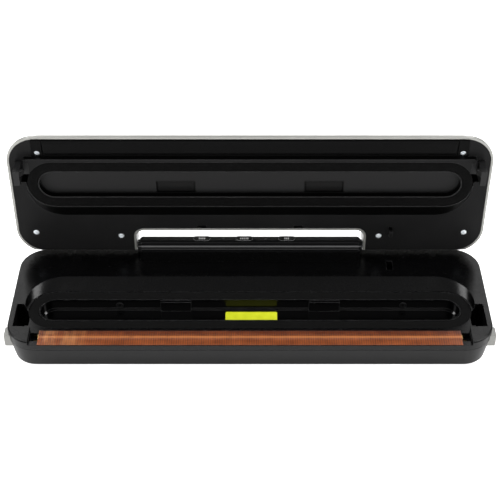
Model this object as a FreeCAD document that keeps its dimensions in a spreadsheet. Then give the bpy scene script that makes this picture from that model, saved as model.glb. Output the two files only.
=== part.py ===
import FreeCAD, Part
import math
import os
import re
import Sketcher

# A slim kitchen vacuum sealer with its lid standing open.
# Lengths are in millimetres. "Ahead" is measured forward from the hinge line and "up" from
# the deck for the base; pieces of the lid are drawn shut, with "up" from the hinge axis.

sizes = {
    # outline of the base
    "deck_width": 365,
    "deck_rear": 2,
    "deck_front": 108,
    "corner_radius": 22,
    "deck_skin": 2.4,
    "deck_edge": 1.4,
    "skirt_height": 7.3,
    "skirt_wall": 2,
    "seam": 0.8,
    "housing_inset": 0.4,
    "housing_depth": 27.5,
    "housing_draft": 10,
    "housing_wall": 2.2,
    "housing_edge": 2,
    "lip_wall": 1.4,
    "fit": 0.2,
    "running_gap": 0.4,
    # feet and bottom screws
    "foot_height": 2.5,
    "foot_radius": 6.5,
    "foot_side": 34.5,
    "foot_rear": 16,
    "foot_edge": 20,
    "post_radius": 3.5,
    "rear_post_side": 22.5,
    "rear_post_ahead": 20,
    "front_post_side": 72.5,
    "screw_core": 1.4,
    "screw_head": 2.9,
    "screw_length": 10,
    # vacuum basin
    "basin_side": 10.5,
    "basin_length": 57.4,
    "basin_setback": 8,
    "basin_corner": 2,
    "basin_depth": 4.7,
    "basin_wall": 2,
    "floor_margin": 1.2,
    "seal_setback": 23.9,
    "seal_side": 2.4,
    "seal_reach": 20.5,
    "seal_band": 8,
    "seal_seat": 2.5,
    "seal_proud": 0.1,
    "trough_rim": 1,
    "trough_depth": 14.5,
    "trough_bevel": 1.4,
    "stop_across": 57.4,
    "stop_width": 23.5,
    "stop_thickness": 2.4,
    "stop_top": 5.6,
    # heater at the front edge
    "ledge_side": 17.5,
    "ledge_depth": 3.3,
    "heater_setback": 9.6,
    "terminal_room": 7.5,
    "heater_width": 9,
    "heater_depth": 6.5,
    "heater_wall": 1.4,
    "wire_width": 3,
    "wire_thickness": 0.3,
    "tape_overlap": 0.5,
    "tape_back": 6.6,
    "tape_edge": 0.8,
    "tape_thickness": 0.25,
    "tape_ridge": 0.7,
    "tape_slope": 1.6,
    "terminal_length": 5,
    "terminal_sheet": 0.8,
    # console at the rear
    "console_half": 87.5,
    "console_front": 15,
    "console_height": 11,
    "console_wall": 2,
    "console_corner": 3,
    "panel_overhang": 1.2,
    "panel_height": 7.4,
    "panel_wall": 1.8,
    "panel_nose": 6.5,
    "panel_back": 3,
    "panel_ridge": 5.8,
    "panel_heel": 1.2,
    "panel_chamfer": 3,
    "console_opening": 3,
    "shelf_length": 8,
    # control buttons, lights and board
    "button_first": -38,
    "button_pitch": 33.5,
    "button_ahead": 8.2,
    "button_half": 6.8,
    "button_reach": 3,
    "button_gap": 0.3,
    "button_proud": 0.4,
    "button_travel": 0.8,
    "flange_rim": 1,
    "flange_height": 1.2,
    "light_radius": 1.1,
    "board_end": 7.5,
    "board_up": 6.6,
    "board_thickness": 1.2,
    "tact_side": 6,
    "tact_height": 2.4,
    "tact_body": 1.6,
    "tact_stem": 1.6,
    # lid hinge
    "axis_height": 6,
    "pin_radius": 2,
    "pin_play": 0.05,
    "collar_radius": 3.6,
    "pin_inside": 8,
    "collar_inside": 6,
    "hinge_block": 12,
    "hinge_block_ahead": 5,
    "hinge_block_height": 5,
    # lid
    "lid_open": 90,
    "lid_gap": 0.4,
    "lid_overhang": 1.5,
    "lid_rear": 3.6,
    "lid_setback": 1,
    "lid_corner": 23,
    "lid_thickness": 19.6,
    "lid_edge": 2.6,
    "lid_slope_front": 11,
    "lid_slope_side": 10,
    "lid_crown_corner": 14,
    "lid_round": 5,
    "lid_wall": 1.8,
    "lid_relief": 2.6,
    "notch_gap": 2.5,
    "notch_reach": 3.7,
    "notch_corner": 6.6,
    "plate_play": 0.15,
    "plate_recess": 0.3,
    "plate_skin": 2.2,
    "plate_boss_clear": 0.7,
    "chamber_rise": 6,
    "chamber_skin": 2.2,
    "indent_across": 57,
    "indent_width": 29.4,
    "indent_length": 10.5,
    "indent_setback": 1.5,
    "indent_depth": 1.8,
    "land_clear": 0.8,
    "land_drop": 0.8,
    "strip_inset": 1.5,
    "strip_width": 12,
    "strip_seat": 1,
    "strip_crown": 2.2,
    "snap_across": 38,
    "snap_width": 7,
    "snap_reach": 2.4,
    "lid_post_radius": 3.6,
    "lid_head": 2.5,
    "lid_head_height": 1.2,
    "front_screw_side": 23.7,
    "front_screw_setback": 14.4,
    "corner_screw_side": 15,
    "corner_screw_ahead": 16,
    "notch_screw_side": 12,
    "notch_screw_ahead": 12.4,
    # latches
    "hook_inset": 5.1,
    "hook_thickness": 4.6,
    "hook_length": 12.4,
    "hook_setback": 4.8,
    "hook_drop": 14.5,
    "barb_reach": 3,
    "barb_length": 4.6,
    "barb_height": 4,
    "barb_lip": 1,
    "hook_root": 3,
    "hook_side": 1.8,
    "window_margin": 2.6,
    "window_reach": 8,
    "slot_width": 10.7,
    "slot_clear": 0.7,
    "slot_length": 25,
    "slot_ahead": 4.4,
    "slot_corner": 5,
    "latch_travel": 3,
    "latch_bite": 1.4,
    "catch_thickness": 2.4,
    "catch_wall": 3.4,
    "release_gap": 2,
    "release_length": 9.8,
    "release_top": 3.2,
    "release_bottom": 13.2,
    "release_proud": 1.9,
    "release_depth": 8,
    "release_round": 1.2,
    "slider_depth": 5.5,
    "slider_step": 0.6,
    "slider_reach": 13.8,
    "spring_packed": 6,
    "spring_step": 1.2,
    "spring_up": 12.2,
    "spring_spread": 1.9,
    "spring_width": 3.6,
    "spring_leaf": 0.4,
    "spring_wall": 2.4,
    # lid switch
    "switch_side": 20.6,
    "switch_ahead": 19.5,
    "switch_hole_width": 5,
    "switch_hole_length": 10.7,
    "pin_width": 2.6,
    "pin_length": 4.5,
    "pin_drop": 6.6,
    "plunger_radius": 1.5,
    "plunger_travel": 1.5,
    "plunger_height": 3,
    "plunger_play": 0.1,
    "switch_length": 20,
    "switch_width": 6.4,
    "switch_height": 7,
    # pump, hoses and supply
    "port_across": -101,
    "sensor_side": 8,
    "port_up": 10.2,
    "port_radius": 2.4,
    "port_bore": 1.4,
    "port_flange": 2.9,
    "port_flange_height": 0.8,
    "port_tail": 12,
    "hose_wall": 1.2,
    "hose_grip": 4,
    "hose_reach": 5,
    "pump_ahead": 17,
    "pump_head_length": 26,
    "pump_head_width": 20,
    "pump_head_height": 15,
    "motor_length": 32,
    "motor_width": 20,
    "motor_height": 15,
    "motor_round": 6.5,
    "cradle_thickness": 2.4,
    "cradle_rise": 5,
    "cradle_margin": 2,
    "supply_left": 24,
    "supply_length": 70,
    "supply_rear": 6,
    "supply_width": 22,
    "supply_up": 20,
    "supply_thickness": 1.6,
    "transformer_length": 26,
    "transformer_width": 18,
    "transformer_height": 12,
    "capacitor_radius": 4.5,
    "capacitor_length": 14,
    "gauge_length": 16,
    "gauge_depth": 6,
    "gauge_height": 11,
    "gland_side": 40.5,
    "gland_up": 16,
    "gland_radius": 4.5,
    "gland_bore": 3,
    "gland_length": 9,
    "gland_proud": 2,
}

doc = FreeCAD.newDocument("vacuum_sealer")
sheet = doc.addObject("Spreadsheet::Sheet", "sizes")
for row, (alias, amount) in enumerate(sizes.items(), 1):
    sheet.set(f"A{row}", alias)
    sheet.set(f"B{row}", str(amount))
    sheet.setAlias(f"B{row}", alias)
doc.recompute()


# places and sizes that follow from the driving sizes
places = {
    "deck_half": "(deck_width / 2)",
    "lid_half": "(deck_half + lid_overhang)",
    "basin_half": "(deck_half - basin_side)",
    "seal_half": "(basin_half - seal_side)",
    "ledge_half": "(deck_half - ledge_side)",
    "heater_half": "(ledge_half - terminal_room)",
    "tape_half": "(heater_half + tape_overlap)",
    "strip_half": "(heater_half - strip_inset)",
    "hook_outer": "(deck_half - hook_inset)",
    "slot_outer": "(hook_outer + slot_clear)",
    "slot_inner": "(slot_outer - slot_width)",
    "slider_inner": "(hook_outer - slider_reach)",
    "foot_across": "(deck_half - foot_side)",
    "rear_post_across": "(deck_half - rear_post_side)",
    "front_post_across": "(deck_half - front_post_side)",
    "front_screw_across": "(lid_half - front_screw_side)",
    "corner_screw_across": "(lid_half - corner_screw_side)",
    "notch_half": "(console_half + notch_gap)",
    "notch_front": "(console_front + notch_reach)",
    "notch_screw_across": "(notch_half + notch_screw_side)",
    "gland_across": "(deck_half - gland_side)",
    "switch_across": "(notch_half + switch_side)",
    "sensor_across": "(switch_across + sensor_side)",
    "board_half": "(console_half - board_end)",
    "heater_centre": "(deck_front - heater_setback)",
    "basin_front": "(heater_centre - basin_setback)",
    "basin_rear": "(basin_front - basin_length)",
    "seal_centre": "(basin_front - seal_setback)",
    "tape_rear": "(heater_centre - tape_back)",
    "tape_front": "(deck_front - tape_edge)",
    "foot_front": "(deck_front - foot_edge)",
    "lid_front": "(deck_front - lid_setback)",
    "front_screw_ahead": "(lid_front - front_screw_setback)",
    "hook_front": "(basin_front - hook_setback)",
    "hook_rear": "(hook_front - hook_length)",
    "barb_rear": "(hook_front - barb_length)",
    "slot_front": "(hook_front + slot_ahead)",
    "slot_rear": "(slot_front - slot_length)",
    "release_rear": "(hook_front + release_gap)",
    "release_front": "(release_rear + release_length)",
    "slider_rear": "(release_rear + slider_step)",
    "spring_ahead": "(slider_rear + spring_step)",
    "spring_length": "(latch_travel + spring_packed)",
    "indent_front": "(seal_centre - indent_setback)",
    "indent_rear": "(indent_front - indent_length)",
    "switch_hole_rear": "(switch_ahead - switch_hole_length / 2)",
    "switch_hole_front": "(switch_ahead + switch_hole_length / 2)",
    "pin_rear": "(switch_ahead - pin_length / 2)",
    "pin_front": "(switch_ahead + pin_length / 2)",
    "pump_left": "(port_across - pump_head_length / 2)",
    "pump_face": "(pump_ahead + pump_head_width / 2)",
    "hinge_back": "((deck_front - (lid_gap + lid_thickness - axis_height)) / 2)",
    "deck_up": "(housing_depth + foot_height)",
    "housing_top": "(-(skirt_height + seam))",
    "housing_floor": "(-(housing_depth - housing_wall))",
    "plate_face": "(lid_gap + plate_recess - axis_height)",
    "plate_top": "(lid_gap + plate_recess + plate_skin - axis_height)",
    "rim_face": "(lid_gap - axis_height)",
    "land_face": "(-(land_drop + axis_height))",
    "boss_face": "(plate_boss_clear - basin_depth - axis_height)",
    "tape_top": "(tape_thickness + tape_ridge - ledge_depth)",
    "panel_half": "(console_half + panel_overhang)",
    "panel_front": "(console_front + panel_overhang)",
    "panel_top": "(console_height + panel_height)",
    "board_top": "(board_up + board_thickness)",
    "tape_bed": "(-ledge_depth)",
    "heater_floor": "(-(ledge_depth + heater_depth))",
    "channel_front": "(heater_centre + heater_width / 2 + heater_wall)",
    "channel_floor": "(heater_floor - heater_wall)",
    "switch_top": "(-(pin_drop + plunger_travel + 2 * running_gap))",
    "slider_front": "(heater_centre - heater_width / 2 - heater_wall - running_gap)",
    "slider_outer": "(deck_half + release_proud - release_depth)",
    "barb_top": "(barb_height - hook_drop)",
    "trough_wall": "(seal_centre - seal_reach + seal_band + trough_rim)",
    "port_end": "(seal_centre - seal_reach - port_tail)",
    "hose_start": "(port_end + hose_grip)",
    "gauge_front": "(port_end - hose_reach)",
    "gauge_rear": "(gauge_front - gauge_depth)",
    "cradle_top": "(housing_floor + cradle_thickness)",
    "flange_low": "(board_top + tact_height + button_gap + button_travel)",
    "plate_inset": "(lid_wall + plate_play)",
    "cover_ceiling": "(lid_gap + lid_thickness - lid_wall - axis_height)",
    "chamber_top": "(boss_face + chamber_rise)",
    "strip_face": "(tape_top + running_gap - axis_height)",
}


def sized(formula):
    # a word of a formula is a place to be opened up or an alias of the sheet
    def opened(found):
        word = found.group()
        return sized(places[word]) if word in places else "sizes." + word

    return re.sub(r"\b[a-z]\w+", opened, formula)


def number(formula):
    return float(sheet.evalExpression(sized(formula)))


bore_sides = 6
post_sides = 8
round_sides = 12
post_spots = [("-rear_post_across", "rear_post_ahead"), ("rear_post_across", "rear_post_ahead"),
              ("-front_post_across", "heater_centre"), ("front_post_across", "heater_centre")]
foot_spots = [("-foot_across", "foot_rear"), ("foot_across", "foot_rear"),
              ("-foot_across", "foot_front"), ("foot_across", "foot_front")]
lid_screw_spots = [(side + across, ahead) for side in ("-", "") for across, ahead in
                   (("front_screw_across", "front_screw_ahead"),
                    ("corner_screw_across", "corner_screw_ahead"),
                    ("notch_screw_across", "notch_screw_ahead"))]
button_spots = ["button_first", "(button_first + button_pitch)", "(button_first + 2 * button_pitch)"]
light_spots = ["(button_first + button_pitch / 2)", "(button_first + 3 * button_pitch / 2)"]
both_sides = ("-", "")


def base_body(label, several=False):
    body = doc.addObject("PartDesign::Body", label)
    body.AllowCompound = several
    body.setExpression("Placement.Base.y", sized("hinge_back"))
    body.setExpression("Placement.Base.z", sized("deck_up"))
    return body


def lid_body(label, several=False):
    body = doc.addObject("PartDesign::Body", label)
    body.AllowCompound = several
    backwards = FreeCAD.Rotation(FreeCAD.Vector(-1, 0, 0), number("lid_open"))
    body.Placement = FreeCAD.Placement(FreeCAD.Vector(0, 0, 0), backwards)
    body.setExpression("Placement.Base.y", sized("hinge_back"))
    body.setExpression("Placement.Base.z", sized("deck_up + axis_height"))
    body.setExpression("Placement.Rotation.Angle", sized("lid_open"))
    return body


class Drawing:
    # a sketch on one of its body's planes, with each of its sizes bound to the sheet
    # XY takes (across, ahead), YZ takes (ahead, up) and XZ takes (across, up)

    def __init__(self, body, plane="XY", level="0"):
        self.body = body
        self.plane = plane
        self.sketch = body.newObject("Sketcher::SketchObject", "Sketch")
        support = [item for item in body.Origin.OriginFeatures if item.Role == plane + "_Plane"]
        self.sketch.AttachmentSupport = [(support[0], "")]
        self.sketch.MapMode = "FlatFace"
        self.sketch.setExpression("AttachmentOffset.Base.z", sized(level))

    def turned(self, first, second):
        if self.plane == "XY":
            return first, f"-({second})"
        if self.plane == "YZ":
            return f"-({first})", second
        return first, second

    def fix(self, index, point, spot):
        for kind, formula in zip(("DistanceX", "DistanceY"), spot):
            rule = Sketcher.Constraint(kind, -1, 1, index, point, number(formula))
            self.sketch.setExpression(f"Constraints[{self.sketch.addConstraint(rule)}]", sized(formula))

    def fix_radius(self, index, radius):
        rule = Sketcher.Constraint("Radius", index, number(radius))
        self.sketch.setExpression(f"Constraints[{self.sketch.addConstraint(rule)}]", sized(radius))

    def polygon(self, points):
        spots = [self.turned(*point) for point in points]
        corners = [FreeCAD.Vector(number(a), number(b), 0) for a, b in spots]
        first = self.sketch.GeometryCount
        count = len(corners)
        following = [(i + 1) % count for i in range(count)]
        self.sketch.addGeometry([Part.LineSegment(corners[i], corners[following[i]]) for i in range(count)])
        rules = [Sketcher.Constraint("Coincident", first + i, 2, first + following[i], 1) for i in range(count)]
        formulas = []
        for i, spot in enumerate(spots):
            for kind, formula in zip(("DistanceX", "DistanceY"), spot):
                rules.append(Sketcher.Constraint(kind, -1, 1, first + i, 1, number(formula)))
                formulas.append(formula)
        bound = self.sketch.ConstraintCount + count
        self.sketch.addConstraint(rules)
        for i, formula in enumerate(formulas):
            self.sketch.setExpression(f"Constraints[{bound + i}]", sized(formula))
        return self

    def box(self, left, right, low, high):
        return self.polygon([(left, low), (right, low), (right, high), (left, high)])

    def disc(self, first, second, radius):
        spot = self.turned(first, second)
        middle = FreeCAD.Vector(number(spot[0]), number(spot[1]), 0)
        upright = FreeCAD.Vector(0, 0, 1)
        index = self.sketch.addGeometry(Part.Circle(middle, upright, number(radius)))
        self.fix(index, 3, spot)
        self.fix_radius(index, radius)
        return self

    def faceted(self, first, second, radius, sides):
        # stands for a disc where a small round repeats or hides
        turns = [2 * math.pi * i / sides for i in range(sides)]
        return self.polygon([(f"{first} {math.cos(turn):+.6f} * ({radius})",
                              f"{second} {math.sin(turn):+.6f} * ({radius})") for turn in turns])

    def rounded(self, centres, radii):
        # arcs round the centres, which run anticlockwise, joined by tangents
        spots = [self.turned(*centre) for centre in centres]
        middles = [FreeCAD.Vector(number(a), number(b), 0) for a, b in spots]
        reaches = [number(radius) for radius in radii]
        count = len(middles)
        first = self.sketch.GeometryCount
        sides = []
        for i, middle in enumerate(middles):
            run = middles[(i + 1) % count] - middle
            lean = (reaches[i] - reaches[(i + 1) % count]) / run.Length
            run.normalize()
            sides.append(FreeCAD.Vector(run.y, -run.x, 0) * math.sqrt(1 - lean * lean) + run * lean)
        for i, middle in enumerate(middles):
            start = math.atan2(sides[i - 1].y, sides[i - 1].x)
            turn = (math.atan2(sides[i].y, sides[i].x) - start) % math.tau
            following = (i + 1) % count
            circle = Part.Circle(middle, FreeCAD.Vector(0, 0, 1), reaches[i])
            self.sketch.addGeometry(Part.ArcOfCircle(circle, start, start + turn))
            self.sketch.addGeometry(Part.LineSegment(middle + sides[i] * reaches[i],
                                                     middles[following] + sides[i] * reaches[following]))
        for i, spot in enumerate(spots):
            arc = first + 2 * i
            following = first + 2 * ((i + 1) % count)
            self.sketch.addConstraint(Sketcher.Constraint("Tangent", arc, 2, arc + 1, 1))
            self.sketch.addConstraint(Sketcher.Constraint("Tangent", arc + 1, 2, following, 1))
            self.fix(arc, 3, spot)
            self.fix_radius(arc, radii[i])
        return self

    def stadium(self, ahead, half, radius, across="0"):
        run = f"({half} - ({radius}))"
        return self.rounded([(f"{across} - {run}", ahead), (f"{across} + {run}", ahead)], [radius, radius])

    def plate(self, half, front, rear, radius, front_radius=None):
        front_radius = front_radius or radius
        side = f"({half} - ({radius}))"
        near_side = f"({half} - ({front_radius}))"
        near = f"{front} - ({front_radius})"
        far = f"{rear} + ({radius})"
        return self.rounded([(f"-{near_side}", near), (near_side, near), (side, far), (f"-{side}", far)],
                            [front_radius, front_radius, radius, radius])


def settle(made):
    doc.recompute()
    if "Invalid" in made.State or made.Shape.isNull():
        raise ValueError(f"{made.Name} of {made.getParentGeoFeatureGroup().Label} failed")
    return made


def pad(drawing, length, down=False, even=False, taper=None):
    made = drawing.body.newObject("PartDesign::Pad", "Pad")
    made.Profile = drawing.sketch
    made.setExpression("Length", sized(length))
    made.Reversed = down
    if even:
        made.SideType = "Symmetric"
    if taper:
        made.setExpression("TaperAngle", sized(taper))
    return settle(made)


def pocket(drawing, depth=None, up=False, even=False, taper=None):
    before = drawing.body.Shape.Volume
    made = drawing.body.newObject("PartDesign::Pocket", "Pocket")
    made.Profile = drawing.sketch
    made.Reversed = up
    if even:
        made.SideType = "Symmetric"
    if taper:
        made.setExpression("TaperAngle", sized(taper))
    if depth:
        made.setExpression("Length", sized(depth))
    else:
        made.Type = "ThroughAll"
    settle(made)
    if made.Shape.Volume >= before:
        raise ValueError(f"a pocket of {drawing.body.Label} cuts nothing")
    return made


def loft(kind, lower, upper):
    made = lower.body.newObject("PartDesign::" + kind, "Loft")
    made.Profile = lower.sketch
    made.Sections = [upper.sketch]
    made.Ruled = True
    return settle(made)


def dress(kind, body, size, wanted):
    # a fillet or chamfer on the edges of the body that the test picks
    base = body.Tip
    edges = [f"Edge{i}" for i, edge in enumerate(base.Shape.Edges, 1) if wanted(edge)]
    made = body.newObject("PartDesign::" + kind, kind)
    made.Base = (base, edges)
    made.setExpression("Radius" if kind == "Fillet" else "Size", sized(size))
    return settle(made)


def level_edge(edge, up):
    box = edge.BoundBox
    return abs(box.ZMin - up) < 1e-4 and abs(box.ZMax - up) < 1e-4


def lower_housing():
    body = base_body("lower_housing")
    half = "(deck_half - housing_inset)"
    front = "(deck_front - housing_inset)"
    rear = "(-deck_rear + housing_inset)"
    tray = Drawing(body, level="housing_top").plate(half, front, rear, "corner_radius - housing_inset")
    pad(tray, "housing_depth - skirt_height - seam", down=True, taper="-housing_draft")
    bottom = number("-housing_depth")
    dress("Chamfer", body, "housing_edge", lambda edge: level_edge(edge, bottom))
    inner = Drawing(body, level="housing_top")
    inner.plate(f"{half} - housing_wall", f"{front} - housing_wall", f"{rear} + housing_wall",
                "corner_radius - housing_inset - housing_wall")
    pocket(inner, "housing_depth - skirt_height - seam - housing_wall", taper="-housing_draft")
    # lip that carries the deck inside its skirt
    inset = "(skirt_wall + fit)"
    lip = Drawing(body, level="housing_top - housing_wall")
    for step in (inset, f"({inset} + lip_wall)"):
        lip.plate(f"deck_half - {step}", f"deck_front - {step}", f"{step} - deck_rear",
                  f"corner_radius - {step}")
    pad(lip, "-housing_top + housing_wall - deck_skin")
    # gaps in the lip for the heater's ledge and channel
    ledge_gap = ("deck_front", "ledge_depth + deck_skin / 2")
    channel_gap = ("channel_front + fit", "-channel_floor - deck_skin / 2")
    for front, depth in (ledge_gap, channel_gap):
        gap = Drawing(body, level="-deck_skin / 2")
        gap.box("-(ledge_half + heater_wall + fit)", "ledge_half + heater_wall + fit", front,
                "deck_front - skirt_wall - 2 * lip_wall")
        pocket(gap, f"{depth} + fit")
    # windows for the release buttons and the cord gland
    window = Drawing(body, "YZ")
    window.box("release_front + fit", "release_rear - fit", "-(release_bottom + fit)", "0")
    pocket(window, even=True)
    gland = Drawing(body, "XZ", level="-deck_rear")
    gland.disc("gland_across", "-gland_up", "gland_radius")
    pocket(gland, "gland_length", up=True)
    # stands on the floor
    stands = Drawing(body, level="housing_floor")
    rails = Drawing(body, level="housing_floor")
    for side in both_sides:
        stands.box(f"{side}(slider_inner - spring_length - spring_wall)",
                   f"{side}(slider_inner - spring_length)",
                   "spring_ahead + spring_spread", "spring_ahead - spring_spread")
        rails.box(f"{side}slider_inner", f"{side}slider_outer", "slider_front", "slider_rear")
    pad(stands, "-(spring_up - spring_width / 2) - housing_floor")
    pad(rails, "-(release_bottom + fit) - housing_floor")
    supports = Drawing(body, level="housing_floor")
    supports.box("switch_across - switch_length / 2", "switch_across + switch_length / 2",
                 "switch_ahead + switch_width / 2", "switch_ahead - switch_width / 2")
    pad(supports, "switch_top - switch_height - housing_floor")
    for across in ("supply_left + post_radius", "supply_left + supply_length - post_radius"):
        stand = Drawing(body, level="housing_floor")
        stand.faceted(across, "supply_rear + supply_width / 2", "post_radius", post_sides)
        pad(stand, "-supply_up - housing_floor")
    gauge = Drawing(body, level="housing_floor")
    gauge.box("sensor_across - gauge_length / 2", "sensor_across + gauge_length / 2", "gauge_front",
              "gauge_rear")
    pad(gauge, "-(port_up + gauge_height / 2) - housing_floor")
    # clearance holes for the bottom screws and seats for the feet
    holes = Drawing(body, level="-housing_depth")
    heads = Drawing(body, level="-housing_depth")
    for across, ahead in post_spots:
        holes.faceted(across, ahead, "screw_core + fit", bore_sides)
        heads.faceted(across, ahead, "screw_head + fit", post_sides)
    pocket(holes, "housing_wall", up=True)
    pocket(heads, "housing_wall / 2", up=True)
    return body


def trough_outline(drawing, grow="0"):
    drawing.stadium("seal_centre", f"seal_half - seal_band - trough_rim + {grow}",
                    f"seal_reach - seal_band - trough_rim + {grow}")
    return drawing


def seal_outline(drawing, grow="0"):
    drawing.stadium("seal_centre", f"seal_half + {grow}", f"seal_reach + {grow}")
    drawing.stadium("seal_centre", f"seal_half - seal_band - {grow}", f"seal_reach - seal_band - {grow}")
    return drawing


def basin_outline(drawing, shrink="0"):
    # rim of the basin at the level of the deck, round behind and square at the heater's ledge
    return drawing.plate(f"basin_half - {shrink}", f"basin_front - {shrink}", f"basin_rear + {shrink}",
                         f"basin_length / 2 - {shrink}", "basin_corner")


def floor_outline(drawing, shrink="0"):
    # rim of the flat floor that carries the gasket
    return drawing.plate(f"seal_half + floor_margin - {shrink}", f"basin_front - {shrink}",
                         f"seal_centre - seal_reach - floor_margin + {shrink}",
                         f"seal_reach + floor_margin - {shrink}", "basin_corner")


def deck_plate():
    body = base_body("deck_plate")
    skirt = Drawing(body).plate("deck_half", "deck_front", "-deck_rear", "corner_radius")
    pad(skirt, "skirt_height", down=True)
    dress("Fillet", body, "deck_edge", lambda edge: level_edge(edge, 0))
    inside = Drawing(body, level="-skirt_height")
    inside.plate("deck_half - skirt_wall", "deck_front - skirt_wall", "skirt_wall - deck_rear",
                 "corner_radius - skirt_wall")
    pocket(inside, "skirt_height - deck_skin", up=True)
    # underside of the basin, the trough and the heater channel
    upper = basin_outline(Drawing(body, level="-deck_skin / 2"), "-(basin_wall / 2)")
    lower = floor_outline(Drawing(body, level="-(basin_depth + seal_seat + basin_wall)"), "-(basin_wall / 2)")
    loft("AdditiveLoft", upper, lower)
    trough = trough_outline(Drawing(body, level="-deck_skin / 2"), "basin_wall")
    pad(trough, "trough_depth + basin_wall - deck_skin / 2", down=True)
    channel = Drawing(body, level="-deck_skin / 2")
    channel.box("-(ledge_half + heater_wall)", "ledge_half + heater_wall", "channel_front",
                "heater_centre - heater_width / 2 - heater_wall")
    pad(channel, "-channel_floor - deck_skin / 2", down=True)
    step = Drawing(body, level="-deck_skin / 2")
    step.box("-(ledge_half + heater_wall)", "ledge_half + heater_wall", "deck_front - skirt_wall / 2",
             "basin_front")
    pad(step, "ledge_depth + deck_skin / 2", down=True)
    # posts that take the bottom screws
    for across, ahead in post_spots:
        post = Drawing(body, level="-deck_skin")
        post.faceted(across, ahead, "post_radius", post_sides)
        pad(post, "-housing_floor - deck_skin", down=True)
    # basin, gasket groove, trough and bag stops
    loft("SubtractiveLoft", basin_outline(Drawing(body)), floor_outline(Drawing(body, level="-basin_depth")))
    pocket(seal_outline(Drawing(body, level="-basin_depth"), "fit / 2"), "seal_seat")
    pocket(trough_outline(Drawing(body)), "trough_depth")
    floor = number("-trough_depth")
    dress("Chamfer", body, "trough_bevel", lambda edge: level_edge(edge, floor))
    stops = Drawing(body, level="-trough_depth")
    for side in both_sides:
        stops.box(f"{side}stop_across - stop_width / 2", f"{side}stop_across + stop_width / 2",
                  "trough_wall + stop_thickness", "trough_wall - trough_rim / 2")
    pad(stops, "trough_depth - stop_top")
    # front ledge, heater channel and the slots at its ends
    ledge = Drawing(body).box("-ledge_half", "ledge_half", "deck_front + seam", "basin_front - fit")
    pocket(ledge, "ledge_depth")
    bed = Drawing(body)
    bed.box("-(ledge_half - fit)", "ledge_half - fit", "heater_centre + heater_width / 2",
            "heater_centre - heater_width / 2")
    pocket(bed, "ledge_depth + heater_depth")
    # holes for the hooks, the lid switch, the suction ports and the console's wires
    for side in both_sides:
        slot = Drawing(body)
        slot.polygon([(f"{side}slot_outer", "slot_front"), (f"{side}slot_inner", "slot_front"),
                      (f"{side}slot_inner", "slot_rear + slot_corner"),
                      (f"{side}(slot_inner + slot_corner)", "slot_rear"), (f"{side}slot_outer", "slot_rear")])
        pocket(slot, "basin_depth + seal_seat + 2 * basin_wall")
        # room under the basin's corner for the catch
        relief = Drawing(body, level="-(basin_depth + basin_wall)")
        relief.box(f"{side}(slider_inner - latch_travel - running_gap)", f"{side}slider_outer",
                   "slider_front + running_gap", "barb_rear - running_gap")
        pocket(relief, "seal_seat + basin_wall")
    hole = Drawing(body)
    hole.box("switch_across - switch_hole_width / 2", "switch_across + switch_hole_width / 2",
             "switch_hole_front", "switch_hole_rear")
    pocket(hole, "skirt_height")
    ports = Drawing(body, "XZ", level="seal_centre")
    for across in ("port_across", "sensor_across"):
        ports.faceted(across, "-port_up", "port_radius", round_sides)
    pocket(ports, "seal_reach + floor_margin + 2 * basin_wall")
    wires = Drawing(body)
    wires.box("-(board_half - shelf_length)", "board_half - shelf_length", "console_front - console_opening",
              "console_opening - deck_rear")
    pocket(wires, "skirt_height")
    for side in both_sides:
        gap = Drawing(body, "YZ", level=f"{side}(deck_half + seam)")
        gap.box("release_front + fit", "release_rear - fit", "-(skirt_height + seam)", "-(release_top - fit)")
        pocket(gap, "skirt_wall + 2 * seam + corner_radius / 4", up=side == "-")
    bores = Drawing(body, level="housing_floor")
    for across, ahead in post_spots:
        bores.faceted(across, ahead, "screw_core", bore_sides)
    pocket(bores, "screw_length", up=True)
    return body


def base_gasket():
    body = base_body("base_gasket")
    pad(seal_outline(Drawing(body, level="-(basin_depth + seal_seat)")), "seal_seat + seal_proud")


def heater():
    bar = base_body("heater_bar")
    block = Drawing(bar, level="heater_floor")
    block.box("-heater_half", "heater_half", "heater_centre + heater_width / 2 - fit",
              "heater_centre - heater_width / 2 + fit")
    pad(block, "heater_depth")
    wire = base_body("heating_wire")
    ribbon = Drawing(wire, level="tape_bed")
    ribbon.box("-heater_half", "heater_half", "heater_centre + wire_width / 2",
               "heater_centre - wire_width / 2")
    pad(ribbon, "wire_thickness")
    # a folded clip at each end presses on the ribbon's end
    clips = base_body("heater_terminals", several=True)
    for side in both_sides:
        fold = Drawing(clips, "XZ", level="heater_centre")
        inner = f"{side}heater_half"
        sheet_face = f"{side}(heater_half + terminal_sheet)"
        outer = f"{side}(heater_half + terminal_length)"
        step = "heater_floor + terminal_sheet"
        rise = "tape_bed + wire_thickness"
        fold.polygon([(inner, "heater_floor"), (outer, "heater_floor"), (outer, step), (sheet_face, step),
                      (sheet_face, rise), (inner, rise)])
        pad(fold, "wire_width + 2 * terminal_sheet", even=True)


def release_tape():
    body = base_body("release_tape")
    near = "heater_centre + wire_width / 2"
    far = "heater_centre - wire_width / 2"
    under = [("tape_rear", "tape_bed"), (f"{far} - tape_slope", "tape_bed"), (far, "tape_bed + tape_ridge"),
             (near, "tape_bed + tape_ridge"), (f"{near} + tape_slope", "tape_bed"),
             ("tape_front", "tape_bed")]
    over = [(ahead, f"{up} + tape_thickness") for ahead, up in reversed(under)]
    pad(Drawing(body, "YZ").polygon(under + over), "2 * tape_half", even=True)


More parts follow.
